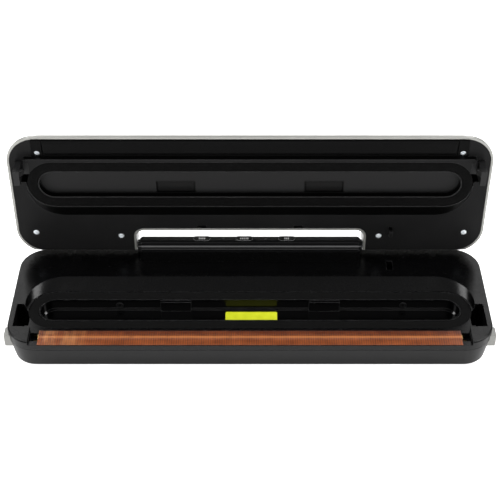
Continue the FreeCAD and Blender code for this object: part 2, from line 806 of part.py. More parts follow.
def console_housing():
    body = base_body("console_housing")
    pad(Drawing(body).plate("console_half", "console_front", "-deck_rear", "console_corner"),
        "console_height")
    inner = Drawing(body)
    inner.plate("console_half - console_wall", "console_front - console_wall", "console_wall - deck_rear",
                "console_corner - console_wall")
    pocket(inner, up=True)
    for side in both_sides:
        shelf = Drawing(body)
        shelf.box(f"{side}(console_half - console_wall / 2)",
                  f"{side}(console_half - console_wall - shelf_length)",
                  "console_front - console_wall / 2", "console_wall / 2 - deck_rear")
        pad(shelf, "board_up")
        collar = Drawing(body, "YZ", level=f"{side}(console_half - collar_inside)")
        collar.disc("0", "axis_height", "collar_radius")
        pad(collar, "collar_inside + notch_half - console_half - running_gap", down=side == "-")
        bore = Drawing(body, "YZ", level=f"{side}notch_half")
        bore.disc("0", "axis_height", "pin_radius")
        pocket(bore, "pin_inside + running_gap", up=side == "-")


def hinge_pins():
    body = base_body("hinge_pins", several=True)
    for side in both_sides:
        pin = Drawing(body, "YZ", level=f"{side}(notch_half - pin_inside)")
        pin.disc("0", "axis_height", "pin_radius")
        pad(pin, "pin_inside + hinge_block - fit", down=side == "-")


def nose_profile(body, low, grow="0", level="0"):
    # cross-section of the control panel before its long edges are rounded
    drawing = Drawing(body, "YZ", level=level)
    front = f"panel_front + {grow}"
    rear = f"-(deck_rear + panel_overhang + {grow})"
    top = f"panel_top + {grow}"
    heel = f"console_height + panel_heel + {grow}"
    return drawing.polygon([(front, low), (front, top), ("panel_ridge", top), (rear, heel), (rear, low)])


def round_nose(body, grow="0"):
    front = -number(f"panel_front + {grow}")
    ridge = -number("panel_ridge")
    top = number(f"panel_top + {grow}")

    def along_top(edge, back):
        box = edge.BoundBox
        return level_edge(edge, top) and abs(box.YMin - back) < 1e-4 and abs(box.YMax - back) < 1e-4

    dress("Fillet", body, f"panel_nose + {grow}", lambda edge: along_top(edge, front))
    dress("Fillet", body, f"panel_back + {grow}", lambda edge: along_top(edge, ridge))


def control_panel():
    body = base_body("control_panel")
    pad(nose_profile(body, "console_height"), "2 * panel_half", even=True)
    round_nose(body)
    half = number("panel_half")
    low = number("console_height + panel_heel")

    def end_edge(edge):
        box = edge.BoundBox
        return box.XLength < 1e-4 and abs(abs(box.XMin) - half) < 1e-4 and box.ZMax > low + 1e-4

    dress("Chamfer", body, "panel_chamfer", end_edge)
    hollow = Drawing(body, "YZ")
    front = "panel_front - panel_wall"
    hollow.polygon([(front, "console_height - seam"), (front, "panel_top - panel_nose"),
                    ("panel_front - panel_nose", "panel_top - panel_wall"),
                    ("panel_ridge", "panel_top - panel_wall"),
                    ("2 * panel_wall - deck_rear - panel_overhang", "console_height - seam")])
    pocket(hollow, "2 * (panel_half - panel_wall - panel_chamfer)", even=True)
    holes = Drawing(body, level="panel_top + seam")
    for across in button_spots:
        holes.stadium("button_ahead", "button_half + button_gap", "button_reach + button_gap", across)
    for across in light_spots:
        holes.faceted(across, "button_ahead", "light_radius + fit / 2", round_sides)
    pocket(holes, "panel_height")


def control_buttons():
    for label, across in zip(("button_left", "button_centre", "button_right"), button_spots):
        body = base_body(label)
        pad(nose_profile(body, "flange_low", "button_proud", across), "2 * (button_half + flange_rim)",
            even=True)
        round_nose(body, "button_proud")
        around = Drawing(body, level="flange_low + flange_height")
        reach = "(button_half + 2 * flange_rim)"
        around.box(f"{across} - {reach}", f"{across} + {reach}", "2 * console_front", "-console_front")
        around.stadium("button_ahead", "button_half", "button_reach", across)
        pocket(around, up=True)
        below = Drawing(body, level="flange_low")
        below.box(f"{across} - {reach}", f"{across} + {reach}", "2 * console_front", "-console_front")
        below.stadium("button_ahead", "button_half + flange_rim", "button_reach + flange_rim", across)
        pocket(below, "flange_height", up=True)


def console_electronics():
    lights = base_body("indicator_lights", several=True)
    pipes = Drawing(lights, level="board_top")
    for across in light_spots:
        pipes.faceted(across, "button_ahead", "light_radius", round_sides)
    pad(pipes, "panel_top - board_top")
    board = base_body("control_board")
    card = Drawing(board, level="board_up")
    card.box("-board_half", "board_half", "console_front - console_wall - fit",
             "console_wall - deck_rear + fit")
    pad(card, "board_thickness")
    tacts = base_body("tact_switches", several=True)
    cans = Drawing(tacts, level="board_top")
    stems = Drawing(tacts, level="board_top")
    for across in button_spots:
        cans.box(f"{across} - tact_side / 2", f"{across} + tact_side / 2", "button_ahead + tact_side / 2",
                 "button_ahead - tact_side / 2")
        stems.faceted(across, "button_ahead", "tact_stem", post_sides)
    pad(cans, "tact_body")
    pad(stems, "tact_height")


def feet_and_screws():
    feet = base_body("rubber_feet", several=True)
    pads = Drawing(feet, level="-housing_depth")
    for across, ahead in foot_spots:
        pads.disc(across, ahead, "foot_radius")
    pad(pads, "foot_height", down=True)
    screws = base_body("bottom_screws", several=True)
    heads = Drawing(screws, level="-(housing_depth - housing_wall / 2)")
    cores = Drawing(screws, level="-(housing_depth - housing_wall / 2)")
    for across, ahead in post_spots:
        heads.faceted(across, ahead, "screw_head", post_sides)
        cores.faceted(across, ahead, "screw_core", bore_sides)
    pad(heads, "housing_wall / 2 - fit", down=True)
    pad(cores, "screw_length")


def lid_switch():
    body = base_body("lid_switch")
    case = Drawing(body, level="switch_top - switch_height")
    case.box("switch_across - switch_length / 2", "switch_across + switch_length / 2",
             "switch_ahead + switch_width / 2", "switch_ahead - switch_width / 2")
    pad(case, "switch_height")
    bore = Drawing(body, level="switch_top")
    bore.faceted("switch_across", "switch_ahead", "plunger_radius + plunger_play", round_sides)
    pocket(bore, "plunger_height + plunger_play")
    plunger = base_body("switch_plunger")
    stem = Drawing(plunger, level="-(pin_drop + running_gap)")
    stem.faceted("switch_across", "switch_ahead", "plunger_radius", round_sides)
    pad(stem, "plunger_height", down=True)


def suction_ports():
    body = base_body("suction_ports", several=True)
    for across in ("port_across", "sensor_across"):
        tail = Drawing(body, "XZ", level="port_end")
        tail.faceted(across, "-port_up", "port_radius", round_sides)
        pad(tail, "trough_wall - port_end")
        flange = Drawing(body, "XZ", level="trough_wall")
        flange.faceted(across, "-port_up", "port_flange", round_sides)
        pad(flange, "port_flange_height")
        bore = Drawing(body, "XZ", level="trough_wall + port_flange_height")
        bore.faceted(across, "-port_up", "port_bore", round_sides)
        pocket(bore, "seal_centre")


def hose(label, across, end):
    # slides over the tail of a port and over the nipple that it feeds
    body = base_body(label)
    section = Drawing(body, "XZ", level=f"{end} + fit")
    section.faceted(across, "-port_up", "port_radius + hose_wall", round_sides)
    section.faceted(across, "-port_up", "port_radius", round_sides)
    pad(section, f"hose_start - {end} - fit")


def pressure_switch():
    gauge = base_body("pressure_switch")
    case = Drawing(gauge, level="-(port_up + gauge_height / 2)")
    case.box("sensor_across - gauge_length / 2", "sensor_across + gauge_length / 2", "gauge_front",
             "gauge_rear")
    pad(case, "gauge_height")
    nipple = Drawing(gauge, "XZ", level="gauge_front")
    nipple.faceted("sensor_across", "-port_up", "port_radius", round_sides)
    pad(nipple, "hose_grip")


def pump():
    cradle = base_body("pump_cradle")
    half = "(pump_head_width / 2 + fit + cradle_thickness)"
    inner = "(pump_head_width / 2 + fit)"
    rim = "cradle_top + cradle_rise"
    trough = Drawing(cradle, "YZ", level="pump_left - cradle_margin")
    trough.polygon([(f"pump_ahead + {half}", "housing_floor"), (f"pump_ahead + {half}", rim),
                    (f"pump_ahead + {inner}", rim), (f"pump_ahead + {inner}", "cradle_top"),
                    (f"pump_ahead - {inner}", "cradle_top"), (f"pump_ahead - {inner}", rim),
                    (f"pump_ahead - {half}", rim), (f"pump_ahead - {half}", "housing_floor")])
    pad(trough, "pump_head_length + motor_length + 2 * cradle_margin")
    head = base_body("pump_head")
    block = Drawing(head, level="cradle_top")
    block.box("pump_left", "pump_left + pump_head_length", "pump_ahead + pump_head_width / 2",
              "pump_ahead - pump_head_width / 2")
    pad(block, "pump_head_height")
    nipple = Drawing(head, "XZ", level="pump_face")
    nipple.faceted("port_across", "-port_up", "port_radius", round_sides)
    pad(nipple, "hose_grip")
    motor = base_body("pump_motor")
    can = Drawing(motor, "YZ", level="pump_left + pump_head_length")
    side = "(motor_width / 2 - motor_round)"
    low = "cradle_top + motor_round"
    high = "cradle_top + motor_height - motor_round"
    can.rounded([(f"pump_ahead + {side}", low), (f"pump_ahead - {side}", low), (f"pump_ahead - {side}", high),
                 (f"pump_ahead + {side}", high)], ["motor_round"] * 4)
    pad(can, "motor_length")


def supply():
    board = base_body("supply_board")
    card = Drawing(board, level="-supply_up")
    card.box("supply_left", "supply_left + supply_length", "supply_rear + supply_width", "supply_rear")
    pad(card, "supply_thickness")
    coil = base_body("supply_transformer")
    core = Drawing(coil, level="supply_thickness - supply_up")
    core.box("supply_left + supply_length - transformer_length", "supply_left + supply_length",
             "supply_rear + (supply_width + transformer_width) / 2",
             "supply_rear + (supply_width - transformer_width) / 2")
    pad(core, "transformer_height")
    capacitor = base_body("supply_capacitor")
    can = Drawing(capacitor, "YZ", level="supply_left + capacitor_radius")
    can.disc("supply_rear + supply_width / 2", "supply_thickness - supply_up + capacitor_radius",
             "capacitor_radius")
    pad(can, "capacitor_length")
    gland = base_body("cord_gland")
    sleeve = Drawing(gland, "XZ", level="-gland_proud")
    sleeve.disc("gland_across", "-gland_up", "gland_radius")
    sleeve.disc("gland_across", "-gland_up", "gland_bore")
    pad(sleeve, "gland_length")


def latch(name, side):
    button = base_body(f"release_button_{name}")
    cap = Drawing(button, "YZ", level=f"{side}slider_outer")
    cap.box("release_front", "release_rear", "-release_bottom", "-release_top")
    pad(cap, "release_depth", down=side == "-")
    outer = number(f"{side}(deck_half + release_proud)")
    dress("Fillet", button, "release_round",
          lambda edge: abs(edge.BoundBox.XMin - outer) < 1e-4 and abs(edge.BoundBox.XMax - outer) < 1e-4)
    slider = base_body(f"latch_slider_{name}")
    low = "-release_bottom"
    bar = Drawing(slider, level=low)
    bar.box(f"{side}slider_inner", f"{side}slider_outer", "slider_front", "slider_rear")
    pad(bar, "slider_depth")
    catch_low = "(barb_top + running_gap)"
    arm = Drawing(slider, level=low)
    arm.box(f"{side}slider_inner", f"{side}(slider_inner + catch_wall)", "slider_front", "barb_rear")
    pad(arm, "slider_depth")
    post = Drawing(slider, level=low)
    post.box(f"{side}slider_inner", f"{side}(slider_inner + catch_wall)", "hook_front", "barb_rear")
    pad(post, f"{catch_low} + catch_thickness + release_bottom")
    catch = Drawing(slider, level=catch_low)
    catch.box(f"{side}slider_inner", f"{side}(hook_outer - hook_thickness - barb_reach + latch_bite)",
              "hook_front", "barb_rear")
    pad(catch, "catch_thickness")
    # a folded leaf, its ends on the housing's stand and its fold on the slider
    spring = base_body(f"latch_spring_{name}")
    leaf = Drawing(spring, level="-(spring_up + spring_width / 2)")
    foot = f"{side}(slider_inner - spring_length)"
    fold = f"{side}(slider_inner - spring_leaf)"
    leaf.polygon([(foot, "spring_ahead - spring_spread"),
                  (foot, "spring_ahead - spring_spread + spring_leaf"),
                  (fold, "spring_ahead"), (foot, "spring_ahead + spring_spread - spring_leaf"),
                  (foot, "spring_ahead + spring_spread"), (f"{side}slider_inner", "spring_ahead")])
    pad(leaf, "spring_width")


def notch_outline(drawing, grow="0"):
    # runs out behind the lid, so that only the front corners are rounded
    return drawing.plate(f"notch_half + {grow}", f"notch_front + {grow}",
                         f"-(lid_rear + notch_front + {grow})",
                         f"notch_corner + {grow}")


def rim_outline(drawing, inset="0"):
    return drawing.plate(f"lid_half - {inset}", f"lid_front - {inset}", f"{inset} - lid_rear",
                         f"lid_corner - {inset}")


def crown_outline(drawing, inset="0"):
    return drawing.plate(f"lid_half - lid_slope_side - {inset}", f"lid_front - lid_slope_front - {inset}",
                         f"{inset} - lid_rear", f"lid_crown_corner - {inset}")


def lid_cover():
    body = lid_body("lid_cover")
    pad(rim_outline(Drawing(body, level="rim_face")), "lid_edge")
    loft("AdditiveLoft", rim_outline(Drawing(body, level="rim_face + lid_edge")),
         crown_outline(Drawing(body, level="rim_face + lid_thickness")))
    pocket(rim_outline(Drawing(body, level="rim_face"), "lid_wall"), "lid_edge", up=True)
    loft("SubtractiveLoft", rim_outline(Drawing(body, level="rim_face + lid_edge"), "lid_wall"),
         crown_outline(Drawing(body, level="cover_ceiling"), "(2 * lid_wall)"))
    # walls round the notch for the console
    walls = Drawing(body, level="rim_face")
    walls.box("-(notch_half + lid_wall)", "notch_half + lid_wall", "notch_front + lid_wall",
              "lid_wall / 2 - lid_rear")
    pad(walls, "lid_thickness - lid_wall / 2")

    across = number("notch_half + lid_wall")
    back = -number("notch_front + lid_wall")

    def wall_corner(edge):
        box = edge.BoundBox
        upright = box.XLength < 1e-4 and box.YLength < 1e-4
        return upright and abs(abs(box.XMin) - across) < 1e-4 and abs(box.YMin - back) < 1e-4

    dress("Fillet", body, "notch_corner + lid_wall", wall_corner)
    top = number("lid_gap + lid_thickness - axis_height")
    dress("Fillet", body, "lid_round", lambda edge: level_edge(edge, top))
    pocket(notch_outline(Drawing(body, level="rim_face")), up=True)
    # slope that keeps the rear edge off the deck as the lid turns
    slope = Drawing(body, "YZ")
    slope.polygon([("lid_relief - lid_rear + seam", "rim_face - seam"),
                   ("-(lid_rear + seam)", "rim_face - seam"),
                   ("-(lid_rear + seam)", "rim_face + lid_relief + seam")])
    pocket(slope, even=True)
    # screw posts and hinge blocks inside
    posts = Drawing(body, level="plate_top")
    bores = Drawing(body, level="plate_top")
    for across, ahead in lid_screw_spots:
        posts.faceted(across, ahead, "lid_post_radius", bore_sides)
        bores.faceted(across, ahead, "screw_core", bore_sides)
    pad(posts, "cover_ceiling + lid_wall / 4 - plate_top")
    pocket(bores, "screw_length", up=True)
    for side in both_sides:
        block = Drawing(body, level="-pin_radius - lid_wall / 2")
        block.box(f"{side}(notch_half + lid_wall / 2)", f"{side}(notch_half + hinge_block)",
                  "hinge_block_ahead", "lid_wall / 2 - lid_rear")
        pad(block, "hinge_block_height + pin_radius")
        bore = Drawing(body, "YZ", level=f"{side}(notch_half - seam)").disc("0", "0", "pin_radius + pin_play")
        pocket(bore, "hinge_block + seam", up=side != "-")


def lid_inner_plate():
    body = lid_body("lid_inner_plate")
    sheet_outline = Drawing(body, level="plate_face")
    sheet_outline.plate("lid_half - plate_inset", "lid_front - plate_inset", "plate_inset - lid_rear",
                        "lid_corner - plate_inset")
    pad(sheet_outline, "plate_skin")
    upper = basin_outline(Drawing(body, level="plate_face"), "plate_boss_clear")
    lower = floor_outline(Drawing(body, level="boss_face"), "plate_boss_clear")
    loft("AdditiveLoft", upper, lower)
    land = Drawing(body, level="plate_face")
    land.box("-(ledge_half - land_clear)", "ledge_half - land_clear", "lid_front - plate_inset - 2 * fit",
             "basin_front - plate_boss_clear - fit")
    pad(land, "plate_face - land_face", down=True)
    chamber = trough_outline(Drawing(body, level="plate_face"), "basin_wall")
    pad(chamber, "chamber_top + indent_depth + chamber_skin - plate_face")
    pocket(trough_outline(Drawing(body, level="boss_face")), "chamber_rise", up=True)
    pocket(seal_outline(Drawing(body, level="boss_face"), "fit / 2"), "seal_seat", up=True)
    indents = Drawing(body, level="chamber_top")
    for side in both_sides:
        indents.box(f"{side}indent_across - indent_width / 2", f"{side}indent_across + indent_width / 2",
                    "indent_front", "indent_rear")
    pocket(indents, "indent_depth", up=True)
    channel = Drawing(body, level="land_face")
    channel.box("-(strip_half + fit)", "strip_half + fit", "lid_front",
                "heater_centre - strip_width / 2 - fit")
    pocket(channel, "plate_face + strip_seat - land_face", up=True)
    pocket(notch_outline(Drawing(body, level="plate_face"), "plate_inset"), up=True)
    windows = Drawing(body, level="boss_face")
    for side in both_sides:
        windows.box(f"{side}(hook_outer - hook_thickness - barb_reach - window_margin)",
                    f"{side}(hook_outer + fit)",
                    "hook_front + fit", "hook_rear - window_reach")
    pocket(windows, up=True)
    snaps = Drawing(body, level="plate_face")
    for side in both_sides:
        snaps.box(f"{side}snap_across - snap_width / 2", f"{side}snap_across + snap_width / 2",
                  "notch_front + plate_inset + snap_reach", "notch_front")
    pocket(snaps, up=True)
    heads = Drawing(body, level="boss_face")
    holes = Drawing(body, level="plate_face")
    for across, ahead in lid_screw_spots:
        heads.faceted(across, ahead, "lid_head + fit", post_sides)
        holes.faceted(across, ahead, "screw_core + fit", bore_sides)
    pocket(heads, "plate_face - boss_face + lid_head_height + fit", up=True)
    pocket(holes, up=True)
    finger = Drawing(body, level="plate_face")
    finger.box("switch_across - pin_width / 2", "switch_across + pin_width / 2", "pin_front", "pin_rear")
    pad(finger, "pin_drop + axis_height + plate_face", down=True)


def lid_fittings():
    gasket = lid_body("lid_gasket")
    pad(seal_outline(Drawing(gasket, level="boss_face - seal_proud")), "seal_seat + seal_proud")
    strip = lid_body("press_strip")
    bar = Drawing(strip, level="strip_face")
    bar.box("-strip_half", "strip_half", "heater_centre + strip_width / 2", "heater_centre - strip_width / 2")
    pad(bar, "plate_face + strip_seat - strip_face")
    face = number("strip_face")
    dress("Fillet", strip, "strip_crown", lambda edge: level_edge(edge, face))
    screws = lid_body("lid_screws", several=True)
    heads = Drawing(screws, level="plate_face + fit")
    cores = Drawing(screws, level="plate_face + fit")
    for across, ahead in lid_screw_spots:
        heads.faceted(across, ahead, "lid_head", post_sides)
        cores.faceted(across, ahead, "screw_core", bore_sides)
    pad(heads, "lid_head_height")
    pad(cores, "screw_length")


def lid_hook(name, side):
    body = lid_body(f"latch_hook_{name}")
    inner = f"{side}(hook_outer - hook_thickness)"
    tip = "(-(hook_drop + axis_height))"
    shank = Drawing(body, "XZ", level="hook_front")
    shank.box(inner, f"{side}hook_outer", tip, "plate_top + hook_root")
    pad(shank, "hook_front - hook_rear", down=True)
    barb = Drawing(body, "XZ", level="hook_front")
    point = f"{side}(hook_outer - hook_thickness - barb_reach)"
    top = f"({tip} + barb_height)"
    barb.polygon([(inner, top), (point, top), (point, f"{top} - barb_lip"), (inner, tip)])
    pad(barb, "hook_front - barb_rear", down=True)
    root = Drawing(body, level="plate_top")
    root.box(f"{side}(hook_outer - hook_thickness - barb_reach - window_margin - hook_side)",
             f"{side}(hook_outer + hook_side)", "hook_front + hook_side", "hook_rear - hook_side")
    pad(root, "hook_root")


lower_housing()
deck_plate()
base_gasket()
heater()
release_tape()
console_housing()
hinge_pins()
control_panel()
control_buttons()
console_electronics()
feet_and_screws()
lid_switch()
suction_ports()
hose("suction_hose", "port_across", "pump_face")
hose("sensor_hose", "sensor_across", "gauge_front")
pressure_switch()
pump()
supply()
for name, side in zip(("left", "right"), both_sides):
    latch(name, side)
    lid_hook(name, side)
lid_cover()
lid_inner_plate()
lid_fittings()

failed = [item.Name for item in doc.Objects if "Invalid" in item.State or "Error" in item.State]
if failed:
    raise ValueError(f"not built: {failed}")
pieces = [item for item in doc.Objects if item.TypeId == "PartDesign::Body"]
for piece in pieces:
    if piece.Shape.isNull() or not piece.Shape.isValid():
        raise ValueError(f"bad solid: {piece.Label}")
os.makedirs("parts", exist_ok=True)
for piece in pieces:
    piece.Shape.exportStep(f"parts/{piece.Label}.step")
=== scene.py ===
import bmesh
import bpy
import math
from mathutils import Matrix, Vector, noise


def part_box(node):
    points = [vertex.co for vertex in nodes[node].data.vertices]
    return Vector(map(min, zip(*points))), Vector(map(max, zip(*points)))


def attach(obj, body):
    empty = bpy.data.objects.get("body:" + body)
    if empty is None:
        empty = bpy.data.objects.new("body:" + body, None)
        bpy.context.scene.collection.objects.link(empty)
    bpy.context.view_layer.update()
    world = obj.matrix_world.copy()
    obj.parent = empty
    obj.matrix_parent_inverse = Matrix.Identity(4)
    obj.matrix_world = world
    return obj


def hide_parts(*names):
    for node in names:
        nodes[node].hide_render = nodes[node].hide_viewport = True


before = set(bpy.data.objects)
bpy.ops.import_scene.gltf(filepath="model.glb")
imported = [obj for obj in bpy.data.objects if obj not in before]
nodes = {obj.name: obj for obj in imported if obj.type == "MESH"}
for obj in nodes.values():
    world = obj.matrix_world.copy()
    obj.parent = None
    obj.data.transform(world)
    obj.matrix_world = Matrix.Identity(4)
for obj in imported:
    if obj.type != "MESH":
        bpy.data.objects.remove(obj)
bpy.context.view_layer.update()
mm = 0.001
white = (1, 1, 1, 1)
print("frame loaded:", len(nodes), "nodes")


# shader sums written as Python expressions
class Wire:
    def __init__(self, finish, socket):
        self.finish = finish
        self.socket = socket

    def sum(self, operation, first, second=0.0, clamp=False):
        settings = {"operation": operation, "use_clamp": clamp}
        return self.finish.node("ShaderNodeMath", settings, {0: first, 1: second})

    def __add__(self, other):
        return self.sum("ADD", self, other)

    def __radd__(self, other):
        return self.sum("ADD", other, self)

    def __sub__(self, other):
        return self.sum("SUBTRACT", self, other)

    def __rsub__(self, other):
        return self.sum("SUBTRACT", other, self)

    def __mul__(self, other):
        return self.sum("MULTIPLY", self, other)

    def __rmul__(self, other):
        return self.sum("MULTIPLY", other, self)

    def clamped(self):
        return self.sum("ADD", self, 0.0, clamp=True)

    def swing(self, amount):
        # a noise about its middle
        return amount * (self - 0.5)

    def wave(self, pitch):
        # 0 to 1 and back in each pitch
        return self.sum("SINE", self * (math.tau / pitch)) * 0.5 + 0.5


# how sharp edges are found, to paint wear, painted edge highlights and painted shaded outlines on them
edgeFinder = {"samples": 4, "gain": 4}


class Finish:
    inputNames = {"colour": "Base Color", "roughness": "Roughness", "metallic": "Metallic", "normal": "Normal",
                  "coat": "Coat Weight"}

    def __init__(self, name, constants):
        self.material = bpy.data.materials.new(name)
        self.material.use_nodes = True
        self.tree = self.material.node_tree
        self.shader = self.tree.nodes["Principled BSDF"]
        for socket, value in constants.items():
            self.shader.inputs[socket].default_value = value
        self.place = self.node("ShaderNodeTexCoord", {}, {}, "Object")

    def node(self, kind, settings, sockets, output=0):
        made = self.tree.nodes.new(kind)
        for name, value in settings.items():
            setattr(made, name, value)
        for name, value in sockets.items():
            self.feed(made.inputs[name], value)
        return Wire(self, made.outputs[output])

    def feed(self, socket, value):
        if isinstance(value, Wire):
            self.tree.links.new(value.socket, socket)
        else:
            socket.default_value = value

    def noise(self, size, detail=3.0, stretch=None):
        place = self.place
        if stretch:
            place = self.node("ShaderNodeMapping", {}, {"Vector": place, "Scale": stretch})
        sockets = {"Vector": place, "Scale": 1 / size, "Detail": detail}
        return self.node("ShaderNodeTexNoise", {}, sockets, "Fac")

    def cells(self, size, output="Distance"):
        return self.node("ShaderNodeTexVoronoi", {}, {"Vector": self.place, "Scale": 1 / size}, output)

    def ramp(self, value, start, end):
        # 0 up to the start, 1 from the end on
        made = self.node("ShaderNodeValToRGB", {}, {"Fac": value})
        first, last = made.socket.node.color_ramp.elements
        first.position, last.position = start, end
        return made

    def mix(self, factor, first, second):
        sockets = {0: factor, 6: rgba(first), 7: rgba(second)}
        return self.node("ShaderNodeMix", {"data_type": "RGBA", "clamp_factor": True}, sockets, 2)

    def part(self, vector, axis):
        return self.node("ShaderNodeSeparateXYZ", {}, {0: vector}, axis)

    def dot(self, first, second):
        return self.node("ShaderNodeVectorMath", {"operation": "DOT_PRODUCT"}, {0: first, 1: second}, "Value")

    def rounded(self, radius):
        return self.node("ShaderNodeBevel", {"samples": edgeFinder["samples"]}, {"Radius": radius})

    def edges(self, radius):
        # 0 on flat faces, towards 1 along sharp edges
        hard = self.node("ShaderNodeNewGeometry", {}, {}, "Normal")
        facing = self.dot(self.rounded(radius), hard)
        return ((1 - facing) * edgeFinder["gain"]).clamped()

    def facesOut(self, middle):
        # 1 where the surface looks away from a point inside the piece
        facing = self.node("ShaderNodeTexCoord", {}, {}, "Normal")
        away = self.node("ShaderNodeVectorMath", {"operation": "SUBTRACT"}, {0: self.place, 1: middle})
        outward = self.dot(facing, away)
        return outward.sum("GREATER_THAN", outward, 0.0)

    def bump(self, height, depth, strength, radius=0.0):
        sockets = {"Height": height, "Distance": depth, "Strength": strength}
        if radius:
            sockets["Normal"] = self.rounded(radius)
        return self.node("ShaderNodeBump", {}, sockets)

    def surface(self, **sockets):
        for name, value in sockets.items():
            self.feed(self.shader.inputs[self.inputNames[name]], value)
        return self.material


def rgba(colour):
    return colour if isinstance(colour, Wire) else (*colour, 1.0)


# moulded plastics: fine spark-eroded grain, faint flow mottling and edges rubbed a little smoother and paler; the
# paler edge colour is partly wear and partly a painted edge highlight
plasticLooks = {
    "blackShell": {"colour": (0.0018, 0.0018, 0.002), "edgeWearAndHighlight": (0.022, 0.022, 0.022), "roughness": 0.38,
                   "grain": 0.45 * mm, "depth": 0.016 * mm, "edge": 0.35 * mm, "specular": 0.115},
    "blackDeck": {"colour": (0.0008, 0.0008, 0.0009), "edgeWearAndHighlight": (0.09, 0.09, 0.092), "roughness": 0.27,
                  "grain": 0.4 * mm, "depth": 0.01 * mm, "edge": 0.4 * mm, "specular": 0.17},
    "lidLining": {"colour": (0.012, 0.012, 0.0122), "edgeWearAndHighlight": (0.12, 0.12, 0.12), "roughness": 0.36,
                  "grain": 0.4 * mm, "depth": 0.012 * mm, "edge": 0.4 * mm, "specular": 0.045},
    "darkPlastic": {"colour": (0.007, 0.007, 0.0073), "edgeWearAndHighlight": (0.05, 0.05, 0.05), "roughness": 0.42,
                    "grain": 0.5 * mm, "depth": 0.02 * mm, "edge": 0.3 * mm, "specular": 0.2},
    "redPlastic": {"colour": (0.42, 0.03, 0.02), "edgeWearAndHighlight": (0.5, 0.08, 0.06), "roughness": 0.4,
                   "grain": 0.4 * mm, "depth": 0.01 * mm, "edge": 0.2 * mm, "specular": 0.5},
    "footRubber": {"colour": (0.016, 0.016, 0.016), "edgeWearAndHighlight": (0.05, 0.05, 0.05), "roughness": 0.75,
                   "grain": 0.7 * mm, "depth": 0.04 * mm, "edge": 0.6 * mm, "specular": 0.3},
    "heaterBar": {"colour": (0.07, 0.07, 0.07), "edgeWearAndHighlight": (0.1, 0.1, 0.1), "roughness": 0.6,
                  "grain": 0.5 * mm, "depth": 0.02 * mm, "edge": 0.3 * mm, "specular": 0.4},
    "pressStrip": {"colour": (0.0013, 0.0013, 0.0014), "edgeWearAndHighlight": (0.02, 0.02, 0.02), "roughness": 0.52,
                   "grain": 0.6 * mm, "depth": 0.03 * mm, "edge": 0.3 * mm, "specular": 0.06},
    "hoseSilicone": {"colour": (0.6, 0.6, 0.57), "edgeWearAndHighlight": (0.7, 0.7, 0.67), "roughness": 0.35,
                     "grain": 0.8 * mm, "depth": 0.02 * mm, "edge": 0.3 * mm, "specular": 0.4},
}
# each touch: sizes of the patterns and how far they change the look
plasticTouch = {"flow": 38 * mm, "flowFrom": 0.35, "flowTo": 0.65, "shade": 0.78, "smudge": 9 * mm, "rub": 6 * mm,
                "rubLeast": 0.35, "rubVaries": 0.65, "smudgeRough": 0.10, "grainRough": 0.06, "rubSmooth": 0.08,
                "bump": 0.8}

# the lid's lining changes tone with its Y: painted shade on the boss walls, plain lining, a paler chamber floor,
# painted shade on the walls of the indents and darker painted shade on their floors, with painted shade along the
# edges of the chamber floor and the indents
chamberLook = {
    "levels": {"bossTop": (37.2 * mm, "wall"), "bossFoot": (41.5 * mm, "plain"),
               "chamberFloor": (42.8 * mm, "satin"), "indentTop": (43.2 * mm, "wall"),
               "indentFloor": (44.6 * mm, "shadedIndentFloor")},
    "tones": {"wall": (0.0012, 0.0012, 0.0012), "satin": (0.019, 0.019, 0.0193), "shadedIndentFloor": (0.011, 0.011, 0.011)},
    "shadeOutlines": {"satin": 2.0 * mm, "shadedIndentFloor": 2.6 * mm}, "blend": 0.2 * mm}
# the trough in the deck is polished below this height
troughLook = {"top": 23.5 * mm, "blend": 1.5 * mm, "smoother": 0.15}


def chamberTones(finish, plain):
    depth = finish.part(finish.place, 1)
    tones = {"plain": plain, **chamberLook["tones"]}
    colour = plain
    for level, tone in chamberLook["levels"].values():
        past = ((depth - level) * (1 / chamberLook["blend"])).clamped()
        colour = finish.mix(past, colour, tones[tone])
        # painted shade: edges past this level take the dark wall tone as outlines
        if tone in chamberLook["shadeOutlines"]:
            outline = finish.edges(chamberLook["shadeOutlines"][tone])
            colour = finish.mix(past * outline, colour, tones["wall"])
    return colour


def mouldedPlastic(name):
    look = plasticLooks[name]
    touch = plasticTouch
    finish = Finish(name, {"Specular IOR Level": look["specular"]})
    grain = finish.noise(look["grain"], detail=2.0)
    flow = finish.noise(touch["flow"])
    smudge = finish.noise(touch["smudge"], detail=4.0)
    # sharp edges get the paler colour: partly wear, partly a painted highlight line along the edge
    rub = finish.edges(look["edge"]) * (touch["rubLeast"] + touch["rubVaries"] * finish.noise(touch["rub"]))
    shade = tuple(part * touch["shade"] for part in look["colour"])
    colour = finish.mix(finish.ramp(flow, touch["flowFrom"], touch["flowTo"]), shade, look["colour"])
    colour = finish.mix(rub, colour, look["edgeWearAndHighlight"])
    roughness = look["roughness"] + smudge.swing(touch["smudgeRough"]) + grain.swing(touch["grainRough"])
    roughness = roughness - touch["rubSmooth"] * rub
    # painted shade on the boss walls and in the indents of the lid's lining
    if name == "lidLining":
        colour = chamberTones(finish, colour)
    if name == "blackDeck":
        height = finish.part(finish.place, 2)
        sunk = ((troughLook["top"] - height) * (1 / troughLook["blend"])).clamped()
        roughness = roughness - troughLook["smoother"] * sunk
    normal = finish.bump(grain, look["depth"], touch["bump"], look["edge"])
    return finish.surface(colour=colour, roughness=roughness.clamped(), normal=normal)


